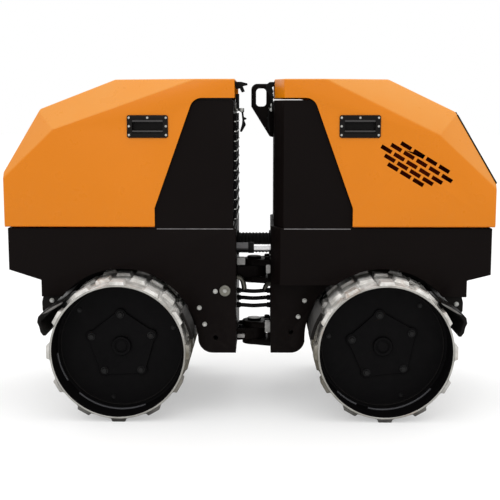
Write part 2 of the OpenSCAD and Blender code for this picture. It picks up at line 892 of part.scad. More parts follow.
// rod with its eye and the eye pin that stands in the wide front bracket holes
module steering_rod() {
  pin_half = bracket_half + bracket_ear + 1;
  color(steel) at_pivot() translate([anchor_front, cylinder_y, cylinder_z]) {
    translate([-rod_l, 0, 0]) rotate([0, 90, 0]) cylinder(r = rod_r, h = rod_l);
    translate([0, 0, -20]) cylinder(r = 26, h = 40);
    translate([0, 0, -pin_half - 6]) cylinder(r = bracket_pin_r, h = 2 * pin_half + 12);
    for (z = [-pin_half - 6, pin_half]) translate([0, 0, z]) cylinder(r = 30, h = 6);
  }
}

// hoses between the end walls
HOSE_Z = [431, 397, 378];
HOSE_Y = [-70, -40, -96];
hose_r = 8;
fitting_r = 11;
fitting_l = 14;

module fittings(e) {
  s = ENDS[e][FRAME_IN];
  for (i = [0 : len(HOSE_Z) - 1])
    translate([s - fitting_l, HOSE_Y[i], HOSE_Z[i]]) rotate([0, 90, 0]) cylinder(r = fitting_r, h = fitting_l, $fn = 6);
  translate([s - 6, 0, harness_z]) rotate([0, 90, 0]) cylinder(r = harness_r + 8, h = 6);
}

harness_z = 615;
harness_r = 41;

module rear_fittings() color(zinc) at_end(REAR) fittings(REAR);

module front_fittings() color(zinc) at_pivot() fittings(FRONT);

module hoses() {
  low = -ENDS[REAR][FRAME_IN] + fitting_l;
  high = ENDS[FRONT][FRAME_IN] - fitting_l;
  color(rubber) at_pivot() for (i = [0 : len(HOSE_Z) - 1])
    translate([low, HOSE_Y[i], HOSE_Z[i]]) rotate([0, 90, 0]) cylinder(r = hose_r, h = high - low);
}

module harness_sleeve() {
  low = -ENDS[REAR][FRAME_IN] + 6;
  high = ENDS[FRONT][FRAME_IN] - 6;
  color(rubber) at_pivot() translate([low, 0, harness_z]) rotate([0, 90, 0]) cylinder(r = harness_r, h = high - low);
}

rear_frame();
rear_deck();
rear_bulkhead();
rear_hood();
rear_handles();
rear_hood_arms();
rear_hinge_lugs();
rear_latch();
rear_carrier();
rear_drum_left();
rear_drum_right();
rear_hubs();
rear_axle();
rear_outer_scraper();
rear_inner_scraper();
rear_guard();
rear_radiator();
rear_pin_heads();
rear_yoke();
rear_cylinder_bracket();
rear_fittings();
front_frame();
front_deck();
front_bulkhead();
front_hood();
front_handles();
front_hood_arms();
front_hinge_lugs();
front_latch();
front_carrier();
front_drum_left();
front_drum_right();
front_hubs();
front_axle();
front_outer_scraper();
front_inner_scraper();
front_vent_panel();
front_engine();
front_lift_eye();
front_yoke();
pivot_pins();
front_cylinder_bracket();
front_fittings();
steering_barrel();
steering_rod();
hoses();
harness_sleeve();
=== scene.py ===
"""Looks of an articulated padfoot trench roller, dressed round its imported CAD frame."""
import json
import logging
import math
from dataclasses import dataclass, field
from enum import Enum
from typing import Iterable, Sequence

import bmesh
import bpy
from mathutils import Matrix, Vector

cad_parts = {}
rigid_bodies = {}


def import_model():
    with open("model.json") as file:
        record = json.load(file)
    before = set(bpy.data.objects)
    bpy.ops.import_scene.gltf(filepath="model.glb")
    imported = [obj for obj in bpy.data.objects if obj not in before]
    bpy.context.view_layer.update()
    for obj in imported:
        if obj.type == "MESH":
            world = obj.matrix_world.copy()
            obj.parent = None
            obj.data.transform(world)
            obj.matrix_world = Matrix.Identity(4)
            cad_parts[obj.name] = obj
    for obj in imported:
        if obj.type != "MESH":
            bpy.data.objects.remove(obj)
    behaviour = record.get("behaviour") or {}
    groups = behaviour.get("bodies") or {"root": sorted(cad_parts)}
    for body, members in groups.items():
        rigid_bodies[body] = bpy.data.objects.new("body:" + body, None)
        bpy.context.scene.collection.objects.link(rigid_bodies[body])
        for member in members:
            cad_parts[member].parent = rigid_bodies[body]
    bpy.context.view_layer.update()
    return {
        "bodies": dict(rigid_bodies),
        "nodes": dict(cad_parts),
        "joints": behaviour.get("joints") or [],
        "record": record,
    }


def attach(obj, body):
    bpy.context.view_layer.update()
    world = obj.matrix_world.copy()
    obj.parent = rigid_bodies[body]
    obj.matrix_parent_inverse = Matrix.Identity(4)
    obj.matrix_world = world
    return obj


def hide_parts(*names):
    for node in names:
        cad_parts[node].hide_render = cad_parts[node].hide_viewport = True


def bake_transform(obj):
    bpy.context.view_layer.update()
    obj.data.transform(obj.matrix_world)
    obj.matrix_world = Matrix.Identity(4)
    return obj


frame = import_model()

LOG = logging.getLogger("roller")
Point = tuple[float, float, float]
Colour = tuple[float, float, float]
Outline = list[tuple[float, float]]
Span = tuple[float, float]
Rows = list[tuple[Point, Point]]
Socket = bpy.types.NodeSocket
BMesh = bmesh.types.BMesh
Piece = bpy.types.Object
MM = 0.001
# Place of the steering pivot and height of the drum axles, in millimetres
PIVOT_X = 16.0
AXLE_Z = 263.0
# Right and left side by the sign of Y
SIDES = (-1, 1)
SEED = 7
# The span that holds most values of a noise
MID_NOISE = (0.3, 0.7)
# Edges that bend more stay sharp, and faces that bend less are one
SHARP = math.radians(32)
FLAT = math.radians(0.3)
# Share of a normal along an axis from which a face counts as square to it
SQUARE = 0.9
# Points nearer than this are one, in metres, for CAD copies and for node trees
CAD_MERGE = 2e-6
TREE_MERGE = 1e-6
ON_AXIS = 1e-7
FOLD_SEGMENTS = 3


class End(Enum):
    """The two modules of the roller, with the sign of their X."""

    REAR = -1
    FRONT = 1

    @property
    def tag(self) -> str:
        """Prefix of the names of this end's nodes."""
        return "rear" if self is End.REAR else "front"

    @property
    def body(self) -> str:
        """The CAD body of this end's module."""
        return f"{self.tag}_module"

    @property
    def axle_s(self) -> float:
        """Distance of the drum's axle from the pivot in millimetres."""
        return 498 if self is End.REAR else 486

    def at(self, s: float, y: float, z: float) -> Point:
        """A point in metres from a distance to the pivot, a side and a height in millimetres."""
        return ((PIVOT_X + self.value * s) * MM, y * MM, z * MM)


class Bevelled(Enum):
    """How an edge of a copied CAD solid is rounded, as radius in metres and segments."""

    FINE = (0.0008, 2)
    PLATE = (0.0016, 2)
    CAST = (0.0035, 3)
    LUG = (0.0025, 2)


# Finishes


class Graph:
    """Nodes and links under construction in one node tree."""

    def __init__(self, tree: bpy.types.NodeTree) -> None:
        """Takes the tree that gets the nodes."""
        self.tree = tree

    def node(self, kind: str, **values: object) -> bpy.types.Node:
        """Adds a node and sets its properties.

        Args:
            kind: Blender's node type.
            **values: properties of the node.

        Returns:
            The new node.
        """
        made = self.tree.nodes.new(kind)
        for key, value in values.items():
            setattr(made, key, value)
        return made

    def link(self, out: Socket, into: Socket) -> None:
        """Joins two sockets."""
        self.tree.links.new(out, into)

    def fill(self, node: bpy.types.Node, **values: object) -> bpy.types.Node:
        """Gives inputs of a node their constants or links.

        Args:
            node: the node.
            **values: constants or sockets by the input's name, with _ for a space.

        Returns:
            The node.
        """
        for key, value in values.items():
            self.feed(value, node.inputs[key.replace("_", " ")])
        return node

    def feed(self, value: object, into: Socket) -> None:
        """Gives a socket a constant or another socket's value.

        Args:
            value: the constant or the other socket.
            into: the socket that takes it.
        """
        if isinstance(value, Socket):
            self.link(value, into)
        else:
            into.default_value = value

    def math(self, operation: str, a: object, b: object = 0.0) -> Socket:
        """An operation on two numbers or sockets.

        Args:
            operation: Blender's name of it.
            a: first number or socket.
            b: second number or socket.

        Returns:
            The result.
        """
        made = self.node("ShaderNodeMath", operation=operation)
        for value, socket in zip((a, b), made.inputs):
            self.feed(value, socket)
        return made.outputs["Value"]

    def axis(self, vector: Socket, name: str) -> Socket:
        """One axis of a vector."""
        return self.fill(self.node("ShaderNodeSeparateXYZ"), Vector=vector).outputs[name]

    def range(self, value: Socket, span: Span, to: Span) -> Socket:
        """Maps a value from one span to another, clamped.

        Args:
            value: the socket to map.
            span: the values taken in.
            to: the values given out.

        Returns:
            The mapped value.
        """
        made = self.node("ShaderNodeMapRange")
        self.fill(made, Value=value, From_Min=span[0], From_Max=span[1], To_Min=to[0], To_Max=to[1])
        return made.outputs["Result"]

    def seen(self) -> Socket:
        """Tells rays that show the surroundings from rays that light the object.

        Returns:
            One for rays from the camera, metal and glass, and zero for all others.
        """
        path = self.node("ShaderNodeLightPath").outputs
        mirrored = self.math("MAXIMUM", path["Is Glossy Ray"], path["Is Transmission Ray"])
        return self.math("MAXIMUM", path["Is Camera Ray"], mirrored)


class Shade(Graph):
    """A material under construction: a shader with a handful of pattern helpers."""

    def __init__(self, name: str) -> None:
        """Starts a node material.

        Args:
            name: name of the material.
        """
        self.material = bpy.data.materials.new(name)
        self.material.use_nodes = True
        super().__init__(self.material.node_tree)
        self.shader = next(n for n in self.tree.nodes if n.type == "BSDF_PRINCIPLED")
        self.coords = self.node("ShaderNodeTexCoord").outputs["Object"]

    def noise(self, scale: float, detail: float = 4, stretch: Point = (1, 1, 1)) -> Socket:
        """A noise on Object coordinates.

        Args:
            scale: waves per metre.
            detail: octaves.
            stretch: scale of each axis.

        Returns:
            The factor output.
        """
        mapping = self.fill(self.node("ShaderNodeMapping"), Scale=stretch, Vector=self.coords)
        made = self.node("ShaderNodeTexNoise")
        self.fill(made, Scale=scale, Detail=detail, Vector=mapping.outputs["Vector"])
        return made.outputs["Fac"]

    def pattern(
        self, scale: float, detail: float, span: Span, to: Span = (0, 1), stretch: Point = (1, 1, 1)
    ) -> Socket:
        """A noise whose middle values are spread over a span.

        Args:
            scale: waves per metre.
            detail: octaves.
            span: the noise values taken in.
            to: the values given out.
            stretch: scale of each axis.

        Returns:
            The spread noise.
        """
        return self.range(self.noise(scale, detail, stretch), span, to)

    def height(self, low: float, high: float) -> Socket:
        """One below low and zero above high, in metres over the ground."""
        return self.range(self.axis(self.coords, "Z"), (low, high), (1, 0))

    def inward(self, near: float, far: float) -> Socket:
        """One nearer to the steering pivot's cross plane than near and zero beyond far, in metres."""
        reach = self.math("SUBTRACT", self.axis(self.coords, "X"), PIVOT_X * MM)
        return self.range(self.math("ABSOLUTE", reach), (near, far), (1, 0))

    def upward(self, low: float, high: float) -> Socket:
        """Zero where the surface looks less upwards than low and one above high."""
        normal = self.node("ShaderNodeTexCoord").outputs["Normal"]
        return self.range(self.axis(normal, "Z"), (low, high), (0, 1))

    def times(self, a: Socket, b: Socket) -> Socket:
        """The product of two values."""
        return self.math("MULTIPLY", a, b)

    def mix(self, share: Socket, under: object, over: Colour) -> Socket:
        """Lays a colour over another by a share.

        Args:
            share: how much of the upper colour shows.
            under: a colour or a colour socket.
            over: the upper colour.

        Returns:
            The mixed colour.
        """
        made = self.fill(self.node("ShaderNodeMix", data_type="RGBA"), Factor=share)
        low, high = [i for i in made.inputs if i.type == "RGBA"][:2]
        self.feed((*under, 1) if isinstance(under, tuple) else under, low)
        self.feed((*over, 1), high)
        return [o for o in made.outputs if o.type == "RGBA"][0]

    def bump(self, height: Socket, strength: float, depth: float) -> None:
        """Raises the surface by a pattern.

        Args:
            height: the pattern.
            strength: share of the effect.
            depth: height of the pattern in metres.
        """
        made = self.node("ShaderNodeBump")
        self.fill(made, Strength=strength, Distance=depth, Height=height)
        before = self.shader.inputs["Normal"]
        if before.is_linked:
            self.fill(made, Normal=before.links[0].from_socket)
        self.link(made.outputs["Normal"], before)

    def set(self, **values: object) -> None:
        """Sets inputs of the shader, named with _ for a space, to constants or sockets."""
        self.fill(self.shader, **values)

    def paint(self, colour: Socket, rough: Socket) -> None:
        """Gives the shader its colour and roughness patterns."""
        self.set(Base_Color=colour, Roughness=rough)


@dataclass(frozen=True)
class Paint:
    """Sprayed paint with a fine peel, soft uneven tone, a top made paler by painted light and dust
    towards the ground.
    """

    name: str
    colour: Colour
    tone: Colour
    dust: Colour
    dust_top: float
    dust_share: float
    rough: Span
    gloss: float
    # Paler colour, its share and the span of upward facing for the painted top light
    bleach: Colour
    bleach_share: float = 0.0
    bleach_from: Span = (0.12, 0.6)
    dust_low: float = 0.12

    def make(self) -> bpy.types.Material:
        """Builds the material.

        Returns:
            The material.
        """
        s = Shade(self.name)
        colour = s.mix(s.pattern(2.6, 3, (0.35, 0.7)), self.colour, self.tone)
        # Painted top light: faces that look upward turn paler in soft patches
        veil = s.pattern(7, 4, MID_NOISE, (0.8 * self.bleach_share, self.bleach_share))
        colour = s.mix(s.times(veil, s.upward(*self.bleach_from)), colour, self.bleach)
        speck = s.pattern(46, 6, (0.42, 0.75), (0, self.dust_share))
        colour = s.mix(s.times(speck, s.height(self.dust_low, self.dust_top)), colour, self.dust)
        s.paint(colour, s.pattern(14, 5, MID_NOISE, self.rough))
        s.bump(s.noise(420, 2), 0.1, 0.0004)
        s.set(Specular_IOR_Level=self.gloss)
        return s.material


@dataclass(frozen=True)
class WornSteel:
    """Bare steel with worn patches, streaks and rust, and painted shade: darker below the top, towards
    the steering pivot and at the bottom.
    """

    name: str
    bright: Colour
    dull: Colour
    rust: Colour
    rust_share: float
    rough: Span
    metal: float
    gloss: float = 0.4
    # Colours, shares and spans of the painted shade: brownish towards the pivot and low down, duller
    # below the top, near black at the bottom
    dirt: Colour = (0.135, 0.120, 0.088)
    dirt_share: float = 0.0
    film_share: float = 0.0
    soil: Colour = (0.016, 0.014, 0.012)
    soil_share: float = 0.0
    film_z: Span = (0.34, 0.46)
    dirt_z: Span = (0.26, 0.36)
    dirt_reach: Span = (0.25, 0.42)
    soil_z: Span = (0.02, 0.19)
    dirt_gloss: float = 0.05
    streak: Point = (1, 0.12, 1)

    def make(self) -> bpy.types.Material:
        """Builds the material: patches and streaks, then rust, then painted shade below the top, towards
        the pivot and at the bottom.

        Returns:
            The material.
        """
        s = Shade(self.name)
        colour = s.mix(s.pattern(19, 7, (0.36, 0.66)), self.bright, self.dull)
        colour = s.mix(s.pattern(30, 5, (0.5, 0.74), (0, 0.55), self.streak), colour, self.dull)
        spots = s.pattern(70, 4, (0.4, 0.62), (0, self.rust_share))
        colour = s.mix(s.times(s.pattern(9, 8, (0.53, 0.68)), spots), colour, self.rust)
        # Painted shade: duller colour below the top of the drum, so that the top looks lit
        under_top_shade = s.pattern(12, 4, MID_NOISE, (0.6 * self.film_share, self.film_share))
        colour = s.mix(s.times(under_top_shade, s.height(*self.film_z)), colour, self.dull)
        # Painted shade: brownish and dark on faces near the steering pivot and low down, with less metal
        # and gloss there
        pivot_shade_noise = s.pattern(26, 6, (0.3, 0.6), (0.85 * self.dirt_share, self.dirt_share))
        pivot_shade_mask = s.times(s.times(pivot_shade_noise, s.inward(*self.dirt_reach)), s.height(*self.dirt_z))
        colour = s.mix(pivot_shade_mask, colour, self.dirt)
        # Painted shade: near black at the bottom
        bottom_shade_noise = s.pattern(18, 5, (0.3, 0.65), (0.92 * self.soil_share, self.soil_share))
        colour = s.mix(s.times(bottom_shade_noise, s.height(*self.soil_z)), colour, self.soil)
        s.paint(colour, s.pattern(55, 5, MID_NOISE, self.rough))
        s.bump(s.noise(130, 6), 0.25, 0.0012)
        s.bump(s.noise(24, 4), 0.2, 0.003)
        s.set(
            Metallic=s.range(pivot_shade_mask, (0, 1), (self.metal, 0.0)),
            Specular_IOR_Level=s.range(pivot_shade_mask, (0, 1), (self.gloss, self.dirt_gloss)),
        )
        return s.material


@dataclass(frozen=True)
class PlatedMetal:
    """Zinc or chrome plate with a soft cloudiness and fine marks along one axis."""

    name: str
    colour: Colour
    cloud: Colour
    rough: Span
    marks: Point = (1, 1, 1)

    def make(self) -> bpy.types.Material:
        """Builds the material.

        Returns:
            The material.
        """
        s = Shade(self.name)
        colour = s.mix(s.pattern(60, 4, (0.35, 0.7), (0, 0.8)), self.colour, self.cloud)
        s.paint(colour, s.pattern(180, 3, MID_NOISE, self.rough, self.marks))
        s.bump(s.noise(600, 2, self.marks), 0.08, 0.0003)
        s.set(Metallic=1.0)
        return s.material


@dataclass(frozen=True)
class Grained:
    """Black rubber, moulded plastic or painted casting: a grain, a bloom and a matt sheen."""

    name: str
    colour: Colour
    bloom: Colour
    grain: float
    depth: float
    rough: Span
    gloss: float

    def make(self) -> bpy.types.Material:
        """Builds the material.

        Returns:
            The material.
        """
        s = Shade(self.name)
        colour = s.mix(s.pattern(11, 6, (0.45, 0.78), (0, 0.6)), self.colour, self.bloom)
        s.paint(colour, s.pattern(33, 4, MID_NOISE, self.rough))
        s.bump(s.noise(self.grain, 3), 0.35, self.depth)
        s.set(Specular_IOR_Level=self.gloss)
        return s.material


GREY_DUST = (0.03, 0.026, 0.022)
BROWN_RUST = (0.30, 0.15, 0.065)
FINISHES = {
    # Orange paint, paler on upward faces: painted top light
    "hood_paint": Paint(
        "hood paint", colour=(0.745, 0.212, 0.0012), tone=(0.73, 0.207, 0.001),
        dust=(0.55, 0.36, 0.17), dust_top=1.0, dust_share=0.08, rough=(0.26, 0.34), gloss=0.27,
        bleach=(0.63, 0.375, 0.115), bleach_share=0.40,
    ),
    # Black paint, a little paler on upward faces: painted top light
    "frame_paint": Paint(
        "frame paint", colour=(0.0050, 0.0034, 0.0032), tone=(0.0058, 0.0041, 0.0038),
        dust=GREY_DUST, dust_top=0.5, dust_share=0.16, rough=(0.40, 0.52),
        gloss=0.04, bleach=(0.012, 0.010, 0.009), bleach_share=0.5,
    ),
    # Light steel with painted shade below the top, towards the pivot and at the bottom
    "drum_steel": WornSteel(
        "drum steel", bright=(0.87, 0.855, 0.82), dull=(0.47, 0.455, 0.425),
        rust=BROWN_RUST, rust_share=0.7, rough=(0.42, 0.62), metal=0.25,
        dirt_share=0.95, film_share=0.55, soil_share=1.0,
    ),
    # A darker copy of the drum steel for the rim's end faces: painted shade
    "rim_face_shade_steel": WornSteel(
        "rim face steel, painted shade", bright=(0.47, 0.462, 0.435), dull=(0.32, 0.31, 0.285),
        rust=BROWN_RUST, rust_share=0.4, rough=(0.42, 0.62), metal=0.25,
        dirt_share=0.3, film_share=0.2,
    ),
    "blade_edge": WornSteel(
        "blade edge", bright=(0.20, 0.196, 0.19), dull=(0.11, 0.107, 0.10),
        rust=(0.10, 0.05, 0.025), rust_share=0.4, rough=(0.4, 0.55), metal=0.3,
    ),
    "scraper_steel": WornSteel(
        "scraper steel", bright=(0.0080, 0.0068, 0.0062), dull=(0.0045, 0.0040, 0.0038),
        rust=(0.014, 0.009, 0.006), rust_share=0.3, rough=(0.36, 0.52), metal=0.0, gloss=0.07,
    ),
    # Black paint with fine dust, and grey on its upward faces: painted top light
    "scraper_top_light_and_dust": Paint(
        "scraper paint, dust and painted top light", colour=(0.0080, 0.0068, 0.0062), tone=(0.0100, 0.0088, 0.0082),
        dust=GREY_DUST, dust_top=0.5, dust_share=0.16, rough=(0.5, 0.62), gloss=0.05,
        bleach=(0.105, 0.102, 0.100), bleach_share=0.9, bleach_from=(0.1, 0.5),
    ),
    "bright_metal": PlatedMetal(
        "bright zinc", colour=(0.50, 0.50, 0.48), cloud=(0.30, 0.295, 0.27), rough=(0.30, 0.46),
    ),
    "dull_zinc": PlatedMetal(
        "dull zinc", colour=(0.205, 0.199, 0.172), cloud=(0.10, 0.097, 0.084),
        rough=(0.40, 0.55),
    ),
    "cast_zinc": PlatedMetal(
        "cast zinc", colour=(0.37, 0.365, 0.355), cloud=(0.25, 0.245, 0.235),
        rough=(0.40, 0.55),
    ),
    "worn_edge": PlatedMetal(
        "worn edge", colour=(0.19, 0.182, 0.184), cloud=(0.115, 0.11, 0.112), rough=(0.36, 0.5),
    ),
    "chrome_rod": PlatedMetal(
        "hard chrome", colour=(0.66, 0.66, 0.66), cloud=(0.55, 0.55, 0.56), rough=(0.10, 0.22),
        marks=(6, 1, 1),
    ),
    # Black paint, grey on its upper half: painted highlight
    "cylinder_paint_highlit": Paint(
        "barrel paint, painted highlight", colour=(0.010, 0.0095, 0.010), tone=(0.013, 0.0125, 0.013),
        dust=GREY_DUST, dust_top=0.5, dust_share=0.1, rough=(0.34, 0.44), gloss=0.1,
        bleach=(0.27, 0.265, 0.27), bleach_share=0.9, bleach_from=(-0.3, 0.2),
    ),
    "bolt_black": Grained(
        "black bolts", colour=(0.0045, 0.0042, 0.0044), bloom=(0.008, 0.0075, 0.0075),
        grain=320, depth=0.0004, rough=(0.24, 0.34), gloss=0.17,
    ),
    # Grey for arcs inside the rim: painted highlight
    "highlit_paint": Grained(
        "highlit paint", colour=(0.060, 0.060, 0.066), bloom=(0.095, 0.095, 0.10), grain=320,
        depth=0.0004, rough=(0.4, 0.5), gloss=0.2,
    ),
    "rubber": Grained(
        "black rubber", colour=(0.006, 0.0058, 0.0058), bloom=(0.012, 0.0115, 0.011), grain=260,
        depth=0.0006, rough=(0.55, 0.7), gloss=0.12,
    ),
    "dark_metal": Grained(
        "black casting", colour=(0.0030, 0.0027, 0.0030), bloom=(0.0048, 0.0043, 0.0044),
        grain=240, depth=0.0010, rough=(0.42, 0.55), gloss=0.05,
    ),
    "handle_plastic": Grained(
        "handle moulding", colour=(0.0055, 0.0045, 0.0042), bloom=(0.0085, 0.0075, 0.007),
        grain=520, depth=0.0004, rough=(0.36, 0.46), gloss=0.10,
    ),
    # Grey, far paler than the moulding, for the ledge bars: painted highlight
    "ridge_highlight": Grained(
        "ridge paint, painted highlight", colour=(0.040, 0.037, 0.037), bloom=(0.058, 0.054, 0.054), grain=520,
        depth=0.0003, rough=(0.3, 0.4), gloss=0.3,
    ),
    # Dark red behind the vent slots: painted shade of the orange inside of the hood
    "vent_shade": Grained(
        "vent tray shade", colour=(0.10, 0.010, 0.0015), bloom=(0.17, 0.022, 0.003), grain=220,
        depth=0.0012, rough=(0.8, 0.9), gloss=0.0,
    ),
    "core_fins": Grained(
        "core fins", colour=(0.02, 0.0205, 0.022), bloom=(0.045, 0.044, 0.042), grain=300,
        depth=0.0004, rough=(0.45, 0.6), gloss=0.25,
    ),
}


# Mesh helpers


def outline_slab(
    bm: BMesh, points: Outline, low: float, high: float, place: Matrix
) -> list[bmesh.types.BMFace]:
    """Adds a closed prism of an outline.

    Args:
        bm: the mesh that takes it.
        points: the outline in metres, counter-clockwise.
        low: lower end along the local Z.
        high: upper end along the local Z.
        place: where local space lies.

    Returns:
        The new faces.
    """
    rings = [[bm.verts.new(place @ Vector((x, y, z))) for x, y in points] for z in (low, high)]
    count = len(points)
    faces = [bm.faces.new(rings[1]), bm.faces.new(rings[0][::-1])]
    for i in range(count):
        k = (i + 1) % count
        faces.append(bm.faces.new((rings[0][i], rings[0][k], rings[1][k], rings[1][i])))
    return faces


def rounded_outline(width: float, height: float, radius: float, steps: int = 4) -> Outline:
    """A rectangle with round corners, counter-clockwise.

    Args:
        width: size along X.
        height: size along Y.
        radius: corner radius.
        steps: chords per corner.

    Returns:
        The outline's points.
    """
    points: Outline = []
    reach_x, reach_y = width / 2 - radius, height / 2 - radius
    for sx, sy, start in ((1, 1, 0), (-1, 1, 90), (-1, -1, 180), (1, -1, 270)):
        for i in range(steps + 1):
            a = math.radians(start + 90 * i / steps)
            points.append((sx * reach_x + radius * math.cos(a), sy * reach_y + radius * math.sin(a)))
    return points


def counter_clockwise(points: Iterable[tuple[float, float]]) -> Outline:
    """Turns an outline so that it runs counter-clockwise.

    Args:
        points: the outline, either way round.

    Returns:
        The outline's points.
    """
    made = list(points)
    area = sum(a[0] * b[1] - b[0] * a[1] for a, b in zip(made, [*made[1:], made[0]]))
    return made if area >= 0 else made[::-1]


def lathe(
    bm: BMesh, profile: Sequence[tuple[float, float]], place: Matrix, sides: int = 32, ring: bool = False
) -> None:
    """Adds a closed turned shape.

    Args:
        bm: the mesh that takes it.
        profile: radius and height along the local Z, from axis to axis unless it is a ring.
        place: where local space lies.
        sides: chords round the axis.
        ring: whether the profile is a loop off the axis, up outside and down inside.
    """
    rings: list[list[bmesh.types.BMVert]] = []
    turn = [2 * math.pi * i / sides for i in range(sides)]
    for r, z in profile:
        if r < ON_AXIS:
            rings.append([bm.verts.new(place @ Vector((0, 0, z)))])
            continue
        rings.append([bm.verts.new(place @ Vector((r * math.cos(a), r * math.sin(a), z))) for a in turn])
    for low, high in zip(rings, rings[1:] + (rings[:1] if ring else [])):
        for i in range(sides):
            k = (i + 1) % sides
            if len(low) == 1:
                bm.faces.new((low[0], high[k], high[i]))
            elif len(high) == 1:
                bm.faces.new((low[i], low[k], high[0]))
            else:
                bm.faces.new((low[i], low[k], high[k], high[i]))


def tube(bm: BMesh, path: Sequence[Vector], radius: float, sides: int = 20) -> None:
    """Adds a round hose with closed ends along points in an upright plane.

    Args:
        bm: the mesh that takes it.
        path: the middle line.
        radius: radius of the hose.
        sides: chords round it.
    """
    rings = []
    side = Vector((0, -1, 0))
    turn = [2 * math.pi * k / sides for k in range(sides)]
    for i, p in enumerate(path):
        along = (path[min(i + 1, len(path) - 1)] - path[max(i - 1, 0)]).normalized()
        up = side.cross(along)
        rings.append([bm.verts.new(p + radius * (math.cos(a) * side + math.sin(a) * up)) for a in turn])
    for low, high in zip(rings, rings[1:]):
        for k in range(sides):
            n = (k + 1) % sides
            bm.faces.new((low[k], high[k], high[n], low[n]))
    bm.faces.new(rings[0])
    bm.faces.new(rings[-1][::-1])


def facing(point: Point, direction: Point) -> Matrix:
    """A place whose local Z points along a direction.

    Args:
        point: where the local origin lies.
        direction: where local Z points.

    Returns:
        The placing matrix.
    """
    return Matrix.Translation(point) @ Vector(direction).to_track_quat("Z", "Y").to_matrix().to_4x4()


def upright_at(point: Point, direction: Point) -> Matrix:
    """A place whose local Z points along a level direction and whose local Y points up.

    Args:
        point: where the local origin lies.
        direction: where local Z points.

    Returns:
        The placing matrix.
    """
    place = facing(point, direction)
    up = place.to_3x3().inverted() @ Vector((0, 0, 1))
    return place @ Matrix.Rotation(math.atan2(up.y, up.x) - math.pi / 2, 4, "Z")


def side_view(point: Point) -> Matrix:
    """A place with local X to the front, local Y up and local Z to the right side."""
    return Matrix.Translation(point) @ Matrix.Rotation(math.pi / 2, 4, "X")


def smooth_by_angle(bm: BMesh) -> None:
    """Shades faces smooth and keeps the sharp edges.

    Args:
        bm: the mesh.
    """
    for face in bm.faces:
        face.smooth = True
    for edge in bm.edges:
        edge.smooth = not edge.is_manifold or edge.calc_face_angle(0) < SHARP


